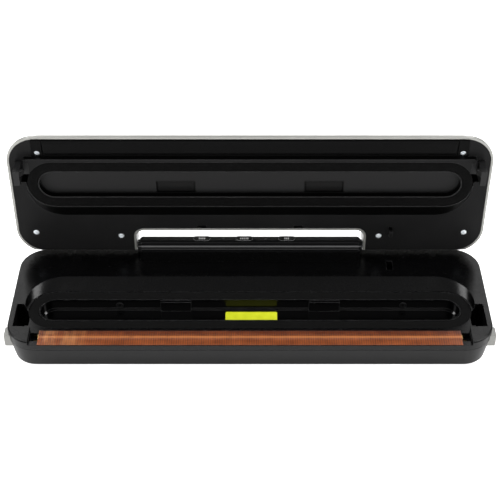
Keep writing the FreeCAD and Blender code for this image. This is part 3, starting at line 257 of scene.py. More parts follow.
# high-gloss black of the console's nose and its buttons, wiped and a little dusty, with a painted highlight along
# their sharp edges
glossLooks = {
    "panelGloss": {"colour": (0.004, 0.004, 0.0043), "edgeWearAndHighlight": (0.03, 0.03, 0.031), "edge": 0.3 * mm,
                   "roughness": 0.075, "wave": 7 * mm, "depth": 0.012 * mm},
    "buttonGloss": {"colour": (0.002, 0.002, 0.0021), "edgeWearAndHighlight": (0.3, 0.3, 0.305), "edge": 0.6 * mm,
                    "roughness": 0.2, "wave": 4 * mm, "depth": 0.008 * mm},
}
glossTouch = {"bend": 1.28, "coat": 0.4, "coatRoughness": 0.04, "wipe": 5 * mm, "wipeStretch": (1, 4, 4),
              "wipeRough": 0.05, "wipeCoat": 0.3, "dust": 0.5 * mm, "dustFrom": 0.68, "dustTo": 0.76,
              "dustColour": (0.05, 0.05, 0.05), "dustShare": 0.25, "dustRough": 0.15, "bump": 0.5,
              "rounding": 0.25 * mm}


def glossPlastic(name):
    look = glossLooks[name]
    touch = glossTouch
    finish = Finish(name, {"IOR": touch["bend"], "Coat IOR": touch["bend"],
                           "Coat Roughness": touch["coatRoughness"]})
    wipe = finish.noise(touch["wipe"], detail=4.0, stretch=touch["wipeStretch"])
    dust = finish.ramp(finish.noise(touch["dust"], detail=1.0), touch["dustFrom"], touch["dustTo"])
    colour = finish.mix(dust * touch["dustShare"], look["colour"], touch["dustColour"])
    # painted highlight: sharp edges get a pale colour that outlines the buttons
    colour = finish.mix(finish.edges(look["edge"]), colour, look["edgeWearAndHighlight"])
    roughness = look["roughness"] + touch["wipeRough"] * wipe + touch["dustRough"] * dust
    wave = finish.noise(look["wave"], detail=1.0)
    normal = finish.bump(wave, look["depth"], touch["bump"], touch["rounding"])
    coat = touch["coat"] - touch["wipeCoat"] * wipe
    return finish.surface(colour=colour, roughness=roughness, normal=normal, coat=coat)


# silver paint of the lid and the release buttons: fine flakes under a satin coat; the buttons' copy is darker as
# painted shade
silverLook = {"lidPaint": ((0.21, 0.21, 0.196), (0.37, 0.37, 0.347)),
              # the buttons' silver is the lid's silver painted darker, as painted shade
              "capPaint": ((0.12, 0.12, 0.112), (0.22, 0.22, 0.205)), "bare": (0.006, 0.006, 0.006),
              "rubbed": (0.2, 0.2, 0.19), "metal": 0.25, "roughness": 0.36, "coat": 0.35, "edge": 0.4 * mm,
              "lidMiddle": (0, 50 * mm, 88 * mm)}
silverTouch = {"coatRoughness": 0.18, "coatBend": 1.5, "flake": 0.22 * mm, "flakeFrom": 0.25, "flakeMix": 0.5,
               "flakeMetal": 0.3, "flakeRough": 0.1, "flakeDepth": 0.006 * mm, "bump": 0.5, "cloud": 24 * mm,
               "cloudMix": 0.4, "cloudRough": 0.12, "cloudCoat": 0.1, "rub": 3 * mm, "rubFrom": 0.45, "rubTo": 0.7,
               "rubShare": 0.5}


def silverPaint(name, hollow):
    touch = silverTouch
    finish = Finish(name, {"Coat Roughness": touch["coatRoughness"], "Coat IOR": touch["coatBend"]})
    flake = finish.node("ShaderNodeSeparateColor", {}, {0: finish.cells(touch["flake"], "Color")}, 0)
    cloud = finish.noise(touch["cloud"])
    patch = finish.ramp(finish.noise(touch["rub"], detail=4.0), touch["rubFrom"], touch["rubTo"])
    rub = finish.edges(silverLook["edge"]) * patch
    dark, light = silverLook[name]
    lit = touch["flakeFrom"] + touch["flakeMix"] * flake + cloud.swing(touch["cloudMix"])
    colour = finish.mix(lit, dark, light)
    colour = finish.mix(rub * touch["rubShare"], colour, silverLook["rubbed"])
    metallic = silverLook["metal"] + flake.swing(touch["flakeMetal"])
    roughness = silverLook["roughness"] + cloud.swing(touch["cloudRough"]) + flake.swing(touch["flakeRough"])
    normal = finish.bump(flake, touch["flakeDepth"], touch["bump"], silverLook["edge"])
    coat = silverLook["coat"] + cloud.swing(touch["cloudCoat"])
    if hollow:
        # faces that look towards the lid's middle were never painted
        painted = finish.facesOut(silverLook["lidMiddle"])
        colour = finish.mix(painted, silverLook["bare"], colour)
        metallic = metallic * painted
        coat = coat * painted
    return finish.surface(colour=colour, metallic=metallic, roughness=roughness, normal=normal, coat=coat)


# closed-cell foam of the gaskets
foamLook = {"pit": (0.0012, 0.0012, 0.0012), "skin": (0.0019, 0.0019, 0.0019), "fleck": (0.016, 0.016, 0.016),
            "cell": 0.55 * mm, "depth": 0.12 * mm, "roughness": 0.72, "specular": 0.06, "sheen": 0.01,
            "sheenRoughness": 0.6}
foamTouch = {"smallCell": 0.45, "smallDepth": 0.4, "cellGain": 1.3, "tone": 7 * mm, "toneGain": 0.5,
             "toneRough": 0.25, "fleck": 0.8 * mm, "fleckFrom": 0.62, "fleckTo": 0.72, "fleckShare": 0.35,
             "bump": 0.8}


def foamRubber():
    touch = foamTouch
    finish = Finish("foamRubber", {"Specular IOR Level": foamLook["specular"], "Sheen Weight": foamLook["sheen"],
                                   "Sheen Roughness": foamLook["sheenRoughness"]})
    cell = finish.cells(foamLook["cell"])
    small = finish.cells(foamLook["cell"] * touch["smallCell"])
    tone = finish.noise(touch["tone"], detail=4.0)
    fleck = finish.ramp(finish.noise(touch["fleck"], detail=2.0), touch["fleckFrom"], touch["fleckTo"])
    skin = (cell * touch["cellGain"] + tone.swing(touch["toneGain"])).clamped()
    colour = finish.mix(skin, foamLook["pit"], foamLook["skin"])
    colour = finish.mix(fleck * touch["fleckShare"], colour, foamLook["fleck"])
    normal = finish.bump(cell + touch["smallDepth"] * small, foamLook["depth"], touch["bump"])
    roughness = foamLook["roughness"] + touch["toneRough"] * tone
    return finish.surface(colour=colour, roughness=roughness, normal=normal)


# coated glass cloth over the heating wire; the weave follows the piece's own UV map, in metres; a painted
# highlight runs along the crest and the crumples, and painted shade lies on the rear slope
tapeLook = {"low": (0.052, 0.0082, 0.0011), "high": (0.285, 0.068, 0.0115), "scorch": (0.08, 0.019, 0.004),
            "creaseAndHighlight": (0.50, 0.225, 0.08), "creaseReach": 46 * mm, "crestHighlight": 7.4 * mm, "crestHighlightWide": 1.5 * mm,
            "warp": 1.7 * mm, "weft": 0.9 * mm, "depth": 0.06 * mm, "roughness": 0.42, "specular": 0.5,
            "sheen": 0.12, "sheenRoughness": 0.4}
tapeTouch = {"warpShare": 0.75, "weftShare": 0.25, "light": 0.14, "threadLight": 0.58, "threadSmooth": 0.1,
             "patch": 11 * mm, "patchStretch": (1, 2.5, 1), "patchLight": 0.7, "patchRough": 0.16,
             "streak": 2.2 * mm, "streakStretch": (1, 0.12, 1), "streakLight": 0.6, "streakDepth": 0.5,
             "crestHighlightShare": 0.5, "crestHighlightTint": 0.4, "rearShadeShare": 0.4,
             "creaseAndHighlight": 7.5 * mm, "creaseStretch": (1.3, 0.3, 1), "creaseFrom": 0.44, "creaseTo": 0.66,
             "creaseShare": 0.75, "spot": 4.5 * mm, "spotFrom": 0.6, "spotTo": 0.74, "spotShare": 0.4, "bump": 0.8}


def tapeCloth():
    touch = tapeTouch
    finish = Finish("tapeCloth", {"Sheen Weight": tapeLook["sheen"], "Sheen Roughness": tapeLook["sheenRoughness"],
                                  "Specular IOR Level": tapeLook["specular"]})
    flat = finish.node("ShaderNodeUVMap", {"uv_map": "weave"}, {})
    along = finish.part(flat, 0)
    across = finish.part(flat, 1)
    thread = touch["warpShare"] * along.wave(tapeLook["warp"]) + touch["weftShare"] * across.wave(tapeLook["weft"])
    patch = finish.noise(touch["patch"], detail=4.0, stretch=touch["patchStretch"])
    streak = finish.noise(touch["streak"], stretch=touch["streakStretch"])
    # painted shade darkens the rear slope behind the wire; a painted highlight brightens the crest over the wire
    rearShade = ((tapeLook["crestHighlight"] - across) * (1 / tapeLook["crestHighlight"])).clamped()
    crestGap = across.sum("ABSOLUTE", across - tapeLook["crestHighlight"])
    crestHighlight = (1 - crestGap * (1 / tapeLook["crestHighlightWide"])).clamped()
    lit = touch["light"] + touch["threadLight"] * thread + patch.swing(touch["patchLight"])
    lit = lit + streak.swing(touch["streakLight"]) + touch["crestHighlightShare"] * crestHighlight - touch["rearShadeShare"] * rearShade
    colour = finish.mix(lit.clamped(), tapeLook["low"], tapeLook["high"])
    # painted highlight: the crumples near the left end and the crest are mixed towards the paler crease colour
    loose = (1 - along * (1 / tapeLook["creaseReach"])).clamped()
    folds = finish.noise(touch["creaseAndHighlight"], detail=2.0, stretch=touch["creaseStretch"])
    creaseAndHighlight = finish.ramp(folds, touch["creaseFrom"], touch["creaseTo"]) * loose * touch["creaseShare"]
    colour = finish.mix((creaseAndHighlight + touch["crestHighlightTint"] * crestHighlight).clamped(), colour, tapeLook["creaseAndHighlight"])
    spot = finish.ramp(finish.noise(touch["spot"], detail=4.0), touch["spotFrom"], touch["spotTo"])
    colour = finish.mix(spot * touch["spotShare"], colour, tapeLook["scorch"])
    roughness = tapeLook["roughness"] + touch["patchRough"] * patch - touch["threadSmooth"] * thread
    normal = finish.bump(thread + touch["streakDepth"] * streak + creaseAndHighlight, tapeLook["depth"], touch["bump"])
    return finish.surface(colour=colour, roughness=roughness, normal=normal)


# metals: faint brushing, stains and fine scratches
metalLooks = {
    "zincSteel": {"dark": (0.80, 0.87, 0.92), "light": (0.95, 0.98, 1.0), "roughness": 0.32, "brush": (1, 1, 6),
                  "metallic": 0.25},
    "springSteel": {"dark": (0.35, 0.35, 0.35), "light": (0.6, 0.6, 0.6), "roughness": 0.3, "brush": (6, 1, 1),
                    "metallic": 1.0},
    "heatingAlloy": {"dark": (0.34, 0.31, 0.28), "light": (0.55, 0.52, 0.48), "roughness": 0.32,
                     "brush": (1, 8, 8), "metallic": 1.0},
    "brassClip": {"dark": (0.45, 0.31, 0.1), "light": (0.78, 0.6, 0.26), "roughness": 0.28, "brush": (1, 6, 1),
                  "metallic": 1.0},
    "motorSteel": {"dark": (0.33, 0.33, 0.34), "light": (0.6, 0.6, 0.61), "roughness": 0.33, "brush": (1, 8, 8),
                   "metallic": 1.0},
    "capacitorSleeve": {"dark": (0.03, 0.03, 0.06), "light": (0.07, 0.07, 0.11), "roughness": 0.3,
                        "brush": (4, 1, 1), "metallic": 0.2},
}
metalTouch = {"stain": 2.5 * mm, "stainShare": 0.5, "stainRough": 0.2, "brush": 0.6 * mm, "brushShare": 0.5,
              "brushRough": 0.12, "scratch": 0.9 * mm, "scratchStretch": (0.2, 3, 3), "scratchFrom": 0.66,
              "scratchTo": 0.7, "scratchShare": 0.2, "scratchDent": 0.4, "depth": 0.01 * mm, "bump": 0.6,
              "rounding": 0.15 * mm}


def metal(name):
    look = metalLooks[name]
    touch = metalTouch
    finish = Finish(name, {"Metallic": look["metallic"]})
    stain = finish.noise(touch["stain"], detail=4.0)
    brush = finish.noise(touch["brush"], stretch=look["brush"])
    lines = finish.noise(touch["scratch"], detail=1.0, stretch=touch["scratchStretch"])
    scratch = finish.ramp(lines, touch["scratchFrom"], touch["scratchTo"])
    lit = touch["stainShare"] * stain + touch["brushShare"] * brush + touch["scratchShare"] * scratch
    colour = finish.mix(lit.clamped(), look["dark"], look["light"])
    roughness = look["roughness"] + stain.swing(touch["stainRough"]) + brush.swing(touch["brushRough"])
    height = brush - touch["scratchDent"] * scratch
    normal = finish.bump(height, touch["depth"], touch["bump"], touch["rounding"])
    return finish.surface(colour=colour, roughness=roughness, normal=normal)


# small parts inside, the label and the printed marks
dyedLooks = {
    "boardMask": {"low": (0.012, 0.075, 0.03), "high": (0.03, 0.16, 0.06), "roughness": 0.3, "scale": 1.6 * mm},
    "coilTape": {"low": (0.30, 0.22, 0.03), "high": (0.5, 0.4, 0.09), "roughness": 0.4, "scale": 2.5 * mm},
    "lightPipe": {"low": (0.012, 0.012, 0.012), "high": (0.03, 0.03, 0.03), "roughness": 0.2, "scale": 1.2 * mm},
    "labelVinyl": {"low": (0.455, 0.5, 0.012), "high": (0.545, 0.59, 0.02), "roughness": 0.4, "scale": 6 * mm},
    "markInk": {"low": (0.30, 0.30, 0.30), "high": (0.52, 0.52, 0.52), "roughness": 0.5, "scale": 0.8 * mm},
}
dyedTouch = {"specular": 0.5, "toneFrom": 0.3, "toneTo": 0.7, "toneRough": 0.2, "fibre": 0.25 * mm,
             "fibreRough": 0.1, "depth": 0.008 * mm, "bump": 0.5}


def dyed(name):
    look = dyedLooks[name]
    touch = dyedTouch
    finish = Finish(name, {"Specular IOR Level": touch["specular"]})
    tone = finish.noise(look["scale"], detail=4.0)
    fibre = finish.noise(touch["fibre"], detail=2.0)
    colour = finish.mix(finish.ramp(tone, touch["toneFrom"], touch["toneTo"]), look["low"], look["high"])
    roughness = look["roughness"] + tone.swing(touch["toneRough"]) + fibre.swing(touch["fibreRough"])
    normal = finish.bump(fibre, touch["depth"], touch["bump"])
    return finish.surface(colour=colour, roughness=roughness, normal=normal)


materials = {name: mouldedPlastic(name) for name in plasticLooks}
materials.update({name: glossPlastic(name) for name in glossLooks})
materials.update({name: metal(name) for name in metalLooks})
materials.update({name: dyed(name) for name in dyedLooks})
materials.update(lidPaint=silverPaint("lidPaint", True), capPaint=silverPaint("capPaint", False))
materials.update(foamRubber=foamRubber(), tapeCloth=tapeCloth())
print("materials made:", len(materials))

# finish of each carried-over solid
nodeFinish = {
    "blackShell": ["lower_housing"],
    "blackDeck": ["deck_plate", "console_housing"],
    "lidLining": ["lid_inner_plate"],
    "panelGloss": ["control_panel"],
    "buttonGloss": ["button_left", "button_centre", "button_right"],
    "darkPlastic": ["latch_hook_left", "latch_hook_right", "latch_slider_left", "latch_slider_right", "lid_switch",
                    "suction_ports", "pressure_switch", "pump_head", "tact_switches"],
    "lidPaint": ["lid_cover"],
    "capPaint": ["release_button_left", "release_button_right"],
    "heaterBar": ["heater_bar"],
    "pressStrip": ["press_strip"],
    "footRubber": ["rubber_feet", "pump_cradle", "cord_gland"],
    "redPlastic": ["switch_plunger"],
    "hoseSilicone": ["suction_hose", "sensor_hose"],
    "springSteel": ["hinge_pins", "latch_spring_left", "latch_spring_right"],
    "heatingAlloy": ["heating_wire"],
    "brassClip": ["heater_terminals"],
    "motorSteel": ["pump_motor"],
    "capacitorSleeve": ["supply_capacitor"],
    "boardMask": ["control_board", "supply_board"],
    "coilTape": ["supply_transformer"],
    "lightPipe": ["indicator_lights"],
}
for finishName, members in nodeFinish.items():
    for member in members:
        slots = nodes[member].data.materials
        slots.clear()
        slots.append(materials[finishName])
print("finishes given to the solids")


def newObject(name, data):
    made = bpy.data.objects.new(name, data)
    bpy.context.scene.collection.objects.link(made)
    return made


def newPiece(name, mesh, material):
    mesh.materials.clear()
    mesh.materials.append(materials[material])
    return newObject(name, mesh)


def meshOf(name, made, outward=True):
    if outward:
        bmesh.ops.recalc_face_normals(made, faces=made.faces)
    mesh = bpy.data.meshes.new(name)
    made.to_mesh(mesh)
    made.free()
    return mesh


def evaluatedMesh(holder):
    return bpy.data.meshes.new_from_object(holder.evaluated_get(bpy.context.evaluated_depsgraph_get()))


def shadeSmooth(mesh):
    mesh.polygons.foreach_set("use_smooth", [True] * len(mesh.polygons))


def thicken(piece, thickness):
    # downwards from the drawn face
    thick = piece.modifiers.new("thickness", "SOLIDIFY")
    thick.thickness = thickness
    thick.offset = -1


# foam gaskets: a crowned ring in each groove
gasket = {"band": 8 * mm, "step": 0.9 * mm, "shoulder": 0.55 * mm, "shoulderSteps": 3, "crown": 0.22 * mm,
          "crownSteps": 8, "lump": 0.10 * mm, "lumpSize": 2.4 * mm, "lumpSeed": 0.3, "lumpSink": 0.6, "fill": 0.9}


def ringPath(half, reach, step):
    # points and outward normals of a stadium's middle line, (across, along)
    straight = half - reach
    path = []
    for end in (1, -1):
        turnSteps = round(math.pi * reach / step)
        for i in range(turnSteps):
            angle = math.pi * (i / turnSteps - 0.5)
            normal = (end * math.cos(angle), end * math.sin(angle))
            path.append((end * straight + reach * normal[0], reach * normal[1], normal))
        runSteps = round(2 * straight / step)
        for i in range(runSteps):
            path.append((end * straight * (1 - 2 * i / runSteps), end * reach, (0, end)))
    return path


def bandProfile(band, height):
    # round shoulders and a crown: (outward, up) from the outer foot to the inner foot
    wide = band / 2
    corner = gasket["shoulder"]
    points = [(wide, 0.0), (wide, height - corner - gasket["crown"])]
    for i in range(1, gasket["shoulderSteps"] + 1):
        angle = math.pi / 2 * i / gasket["shoulderSteps"]
        points.append((wide - corner + corner * math.cos(angle),
                       height - gasket["crown"] - corner + corner * math.sin(angle)))
    mirrored = [(-outward, up) for outward, up in reversed(points)]
    flat = wide - corner
    for i in range(1, gasket["crownSteps"]):
        t = 1 - 2 * i / gasket["crownSteps"]
        points.append((flat * t, height - gasket["crown"] * t * t))
    return points + mirrored


def foamRing(name, node, body, placed):
    low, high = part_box(node)
    size = high - low
    middle = (low + high) / 2
    long = size.y if placed == "up" else size.z
    height = size.z if placed == "up" else size.y
    band = gasket["band"]
    path = ringPath(size.x / 2 - band / 2, long / 2 - band / 2, gasket["step"])
    profile = bandProfile(band, height)
    made = bmesh.new()
    rows = []
    for across, along, normal in path:
        row = []
        for outward, up in profile:
            x = across + normal[0] * outward
            s = along + normal[1] * outward
            lump = noise.noise(Vector((x, s, gasket["lumpSeed"])) / gasket["lumpSize"]) - gasket["lumpSink"]
            rise = max(0.0, up + gasket["lump"] * lump * up / height)
            if placed == "up":
                spot = (middle.x + x, middle.y + s, low.z + rise)
            else:
                spot = (middle.x + x, high.y - rise, middle.z + s)
            row.append(made.verts.new(spot))
        rows.append(row)
    for row, following in zip(rows, rows[1:] + rows[:1]):
        for i in range(len(profile)):
            j = (i + 1) % len(profile)
            made.faces.new((row[i], row[j], following[j], following[i]))
    mesh = meshOf(name, made)
    shadeSmooth(mesh)
    piece = newPiece(name, mesh, "foamRubber")
    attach(piece, body)
    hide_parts(node)


foamRing("foam_gasket_base", "base_gasket", "base", "up")
foamRing("foam_gasket_lid", "lid_gasket", "lid", "forward")
print("foam gaskets made")


# coated tape: laid over the wire, pressed down on both sides of it, crumpled most at its left end
tape = {"columns": 420, "rows": 26, "thickness": 0.16 * mm, "wire": 3 * mm, "slope": 1.6 * mm, "ridge": 0.62 * mm,
        "crumple": 0.42 * mm, "crumpleReach": 60 * mm, "rightShare": 0.4, "rightReach": 15 * mm,
        "puckerShare": 0.5, "wave": 0.07 * mm, "ragged": 0.35 * mm, "ragLeast": 0.25, "ragSize": 3.1 * mm,
        "ragSides": 7.0, "ragSeed": 0.5, "ragPower": 6, "cut": (316 * mm, 15.9 * mm)}
# each ripple's length along and across the tape, and its seed
tapeRipples = {"fold": (9 * mm, 5 * mm, 1.7), "pucker": (3.4 * mm, 7 * mm, 4.2), "wave": (26 * mm, 6 * mm, 9.0)}


def ridgeHeight(offset):
    # 1 over the wire, easing to 0 at the foot of each slope
    beyond = (abs(offset) - tape["wire"] / 2) / tape["slope"]
    t = min(1.0, max(0.0, beyond))
    return 1 - t * t * (3 - 2 * t)


def ripple(name, x, y):
    along, across, seed = tapeRipples[name]
    return noise.noise(Vector((x / along, y / across, seed)))


def tapeLift(x, y, loose):
    lift = tape["crumple"] * loose * max(0.0, ripple("fold", x, y) + tape["puckerShare"] * ripple("pucker", x, y))
    return lift + tape["wave"] * (ripple("wave", x, y) + 1) / 2


def tapeSheet():
    low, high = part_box("release_tape")
    wireLow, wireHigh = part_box("heating_wire")
    wireMiddle = (wireLow.y + wireHigh.y) / 2
    made = bmesh.new()
    weave = made.loops.layers.uv.new("weave")
    flatPlace = {}
    grid = []
    for c in range(tape["columns"] + 1):
        x = low.x + (high.x - low.x) * (c / tape["columns"])
        leftLoose = max(0.0, 1 - (x - low.x) / tape["crumpleReach"]) ** 2
        rightLoose = max(0.0, 1 - (high.x - x) / tape["rightReach"]) ** 2
        loose = leftLoose + tape["rightShare"] * rightLoose
        column = []
        run = 0.0
        previous = None
        for r in range(tape["rows"] + 1):
            t = r / tape["rows"]
            rag = noise.noise(Vector((x / tape["ragSize"], tape["ragSides"] * round(t), tape["ragSeed"])))
            rag *= tape["ragged"] * (tape["ragLeast"] + loose) * abs(2 * t - 1) ** tape["ragPower"]
            y = high.y + (low.y - high.y) * t - rag * (1 if t > 0.5 else -1)
            y = min(high.y, max(low.y, y))
            rise = tape["thickness"] + tape["ridge"] * ridgeHeight(y - wireMiddle) + tapeLift(x, y, loose)
            spot = Vector((x, y, min(low.z + rise, high.z)))
            if previous:
                run += (spot - previous).length
            previous = spot
            vert = made.verts.new(spot)
            flatPlace[vert] = (x - low.x, run)
            column.append(vert)
        grid.append(column)
    for near, far in zip(grid, grid[1:]):
        for r in range(tape["rows"]):
            face = made.faces.new((near[r], near[r + 1], far[r + 1], far[r]))
            for loop in face.loops:
                loop[weave].uv = flatPlace[loop.vert]
    bmesh.ops.recalc_face_normals(made, faces=made.faces)
    if made.faces[0].normal.z < 0:
        bmesh.ops.reverse_faces(made, faces=made.faces)
    mesh = meshOf("heat_tape", made, outward=False)
    shadeSmooth(mesh)
    piece = newPiece("heat_tape", mesh, "tapeCloth")
    thicken(piece, tape["thickness"])
    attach(piece, "base")
    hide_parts("release_tape")


tapeSheet()
print("tape laid")


# cross-head screws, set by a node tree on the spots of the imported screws
screw = {"sides": 28, "dome": 0.28, "crossLong": 0.62, "crossWide": 0.2, "crossDeep": 0.5, "crossTaper": 0.72,
         "threads": 9, "threadRise": 0.14, "level": 0.01 * mm, "sameHead": 2.2}
# shares of the head's radius and the dome's rise
screwDome = ((0.55, 0.06), (0.85, 0.45), (1, 1.6))
# 1 in a thread's valley and 0 on its crest, with the share of the pitch
screwThread = ((1, 0.25), (0, 0.6), (1, 0.95))
screwSizes = {
    "lid": {"head": 2.4 * mm, "headHeight": 1.7 * mm, "core": 1.2 * mm, "length": 10 * mm, "tilt": -math.pi / 2,
            "seed": 4},
    "bottom": {"head": 2.8 * mm, "headHeight": 0.9 * mm, "core": 1.2 * mm, "length": 10.9 * mm, "tilt": 0.0,
               "seed": 9},
}


def screwSpots(node, headRadius):
    # middle of each head's outer face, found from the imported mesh
    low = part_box(node)[0]
    axis = 1 if node == "lid_screws" else 2
    groups = []
    for vert in nodes[node].data.vertices:
        if abs(vert.co[axis] - low[axis]) > screw["level"]:
            continue
        for group in groups:
            if (group[0] - vert.co).length < screw["sameHead"] * headRadius:
                group.append(vert.co.copy())
                break
        else:
            groups.append([vert.co.copy()])
    spots = []
    for group in groups:
        lowest = Vector(min(point[i] for point in group) for i in range(3))
        highest = Vector(max(point[i] for point in group) for i in range(3))
        spots.append((lowest + highest) / 2)
    return spots


def turnedProfile(made, profile, sides):
    # revolves (radius, height) pairs about Z into one closed skin
    rings = []
    for radius, height in profile:
        if radius == 0:
            rings.append([made.verts.new((0, 0, height))])
            continue
        rings.append([made.verts.new((radius * math.cos(math.tau * i / sides),
                                      radius * math.sin(math.tau * i / sides), height)) for i in range(sides)])
    for ring, following in zip(rings, rings[1:]):
        for i in range(sides):
            corners = [ring[i % len(ring)], ring[(i + 1) % len(ring)],
                       following[(i + 1) % len(following)], following[i % len(following)]]
            unique = list(dict.fromkeys(corners))
            if len(unique) > 2:
                made.faces.new(unique)


def screwPattern(head, headHeight, core, length):
    # one screw with its head's face at 0 and its shank upwards along +Z
    dome = screw["dome"] * headHeight
    profile = [(0, 0.0)] + [(share * head, rise * dome) for share, rise in screwDome]
    profile += [(head, headHeight), (core, headHeight)]
    pitch = (length - headHeight) / screw["threads"]
    for i in range(screw["threads"]):
        foot = headHeight + pitch * i
        profile += [(core * (1 - screw["threadRise"] * dip), foot + share * pitch) for dip, share in screwThread]
    profile.append((0, length))
    made = bmesh.new()
    turnedProfile(made, profile, screw["sides"])
    pattern = newObject("screwPattern", meshOf("screwPattern", made))
    cutter = crossCutter(head, headHeight)
    cut = pattern.modifiers.new("recess", "BOOLEAN")
    cut.object = cutter
    cut.solver = "EXACT"
    result = evaluatedMesh(pattern)
    pattern.modifiers.clear()
    pattern.data = result
    bpy.data.objects.remove(cutter)
    return pattern


def crossCutter(head, headHeight):
    # two tapered bars crossed at right angles
    long = screw["crossLong"] * head
    wide = screw["crossWide"] * head / 2
    deep = screw["crossDeep"] * headHeight
    taper = screw["crossTaper"]
    outline = [(long, wide), (wide, wide), (wide, long), (-wide, long), (-wide, wide), (-long, wide),
               (-long, -wide), (-wide, -wide), (-wide, -long), (wide, -long), (wide, -wide), (long, -wide)]
    made = bmesh.new()
    top = [made.verts.new((x, y, -headHeight)) for x, y in outline]
    bottom = [made.verts.new((x * taper, y * taper, deep)) for x, y in outline]
    made.faces.new(top)
    made.faces.new(list(reversed(bottom)))
    for i in range(len(outline)):
        j = (i + 1) % len(outline)
        made.faces.new((top[i], bottom[i], bottom[j], top[j]))
    return newObject("crossCutter", meshOf("crossCutter", made))


def screwTree():
    tree = bpy.data.node_groups.new("screwSet", "GeometryNodeTree")
    sockets = {"Spots": "Geometry", "Pattern": "Object", "Tilt": "Float", "Turn Seed": "Int", "Finish": "Material"}
    for name, kind in sockets.items():
        tree.interface.new_socket(name, in_out="INPUT", socket_type="NodeSocket" + kind)
    tree.interface.new_socket("Screws", in_out="OUTPUT", socket_type="NodeSocketGeometry")
    given = tree.nodes.new("NodeGroupInput").outputs
    handed = tree.nodes.new("NodeGroupOutput").inputs
    info = tree.nodes.new("GeometryNodeObjectInfo")
    place = tree.nodes.new("GeometryNodeInstanceOnPoints")
    turn = tree.nodes.new("FunctionNodeRandomValue")
    turn.data_type = "FLOAT"
    tilt = tree.nodes.new("ShaderNodeCombineXYZ")
    spin = tree.nodes.new("FunctionNodeRotateEuler")
    spin.rotation_type = "AXIS_ANGLE"
    spin.space = "LOCAL"
    real = tree.nodes.new("GeometryNodeRealizeInstances")
    paint = tree.nodes.new("GeometryNodeSetMaterial")
    turnOutput = next(socket for socket in turn.outputs if socket.type == "VALUE" and socket.enabled)
    turnMost = next(socket for socket in turn.inputs if socket.name == "Max" and socket.type == "VALUE")
    turnMost.default_value = math.pi / 2
    links = [(given["Spots"], place.inputs["Points"]), (given["Pattern"], info.inputs[0]),
             (info.outputs["Geometry"], place.inputs["Instance"]), (given["Turn Seed"], turn.inputs["Seed"]),
             (given["Tilt"], tilt.inputs["X"]), (tilt.outputs[0], spin.inputs["Rotation"]),
             (turnOutput, spin.inputs["Angle"]), (spin.outputs[0], place.inputs["Rotation"]),
             (place.outputs[0], real.inputs[0]), (real.outputs[0], paint.inputs["Geometry"]),
             (given["Finish"], paint.inputs["Material"]), (paint.outputs[0], handed[0])]
    for start, end in links:
        tree.links.new(start, end)
    return tree


def screwSet(name, node, body, tree, sizes):
    spots = screwSpots(node, sizes["head"])
    pattern = screwPattern(sizes["head"], sizes["headHeight"], sizes["core"], sizes["length"])
    mesh = bpy.data.meshes.new(name)
    mesh.from_pydata(spots, [], [])
    holder = newObject(name, mesh)
    grow = holder.modifiers.new("screws", "NODES")
    grow.node_group = tree
    values = {"Pattern": pattern, "Tilt": sizes["tilt"], "Turn Seed": sizes["seed"],
              "Finish": materials["zincSteel"]}
    for socket in tree.interface.items_tree:
        if socket.in_out == "INPUT" and socket.name in values:
            grow[socket.identifier] = values[socket.name]
    bpy.context.view_layer.update()
    result = evaluatedMesh(holder)
    bpy.data.objects.remove(holder)
    bpy.data.objects.remove(pattern)
    piece = newPiece(name, result, "zincSteel")
    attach(piece, body)
    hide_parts(node)


setTree = screwTree()
screwSet("cross_head_screws_lid", "lid_screws", "lid", setTree, screwSizes["lid"])
screwSet("cross_head_screws_bottom", "bottom_screws", "base", setTree, screwSizes["bottom"])
print("screws set")


# bare sticker on the floor of the trough, its ends curled up a little
sticker = {"centre": (1 * mm, -18.1 * mm), "size": (40 * mm, 13.8 * mm), "corner": 1.2 * mm, "floor": 15.5 * mm,
           "thickness": 0.12 * mm, "curl": 0.25 * mm, "curlPower": 14, "curlEven": 0.6, "curlVaries": 0.4,
           "curlWaves": 3, "curlSeed": 2, "columns": 40, "rows": 12}


def bareSticker():
    wide, deep = sticker["size"]
    corner = sticker["corner"]
    made = bmesh.new()
    grid = []
    for c in range(sticker["columns"] + 1):
        column = []
        for r in range(sticker["rows"] + 1):
            u = 2 * c / sticker["columns"] - 1
            v = 2 * r / sticker["rows"] - 1
            reach = abs(u) * wide / 2 - (wide / 2 - corner)
            pull = 0.0
            if reach > 0:
                pull = corner - math.sqrt(max(0.0, corner ** 2 - reach ** 2))
            x = sticker["centre"][0] + u * wide / 2
            y = sticker["centre"][1] + v * (deep / 2 - pull)
            uneven = noise.noise(Vector((u, v * sticker["curlWaves"], sticker["curlSeed"])))
            lift = sticker["curl"] * (abs(u) ** sticker["curlPower"])
            lift *= sticker["curlEven"] + sticker["curlVaries"] * uneven
            column.append(made.verts.new((x, y, sticker["floor"] + sticker["thickness"] + lift)))
        grid.append(column)
    for near, far in zip(grid, grid[1:]):
        for r in range(sticker["rows"]):
            made.faces.new((near[r], far[r], far[r + 1], near[r + 1]))
    mesh = meshOf("trough_sticker", made, outward=False)
    shadeSmooth(mesh)
    piece = newPiece("trough_sticker", mesh, "labelVinyl")
    thicken(piece, sticker["thickness"])
    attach(piece, "base")


bareSticker()
print("sticker laid")

# plain printed marks on the buttons: rows of short bars, told apart by their number
marks = {"rise": 0.03 * mm, "shift": -0.4 * mm, "wide": 0.95 * mm, "deep": 2.1 * mm, "pitch": 1.4 * mm,
         "bars": {"left": 4, "centre": 5, "right": 3}}


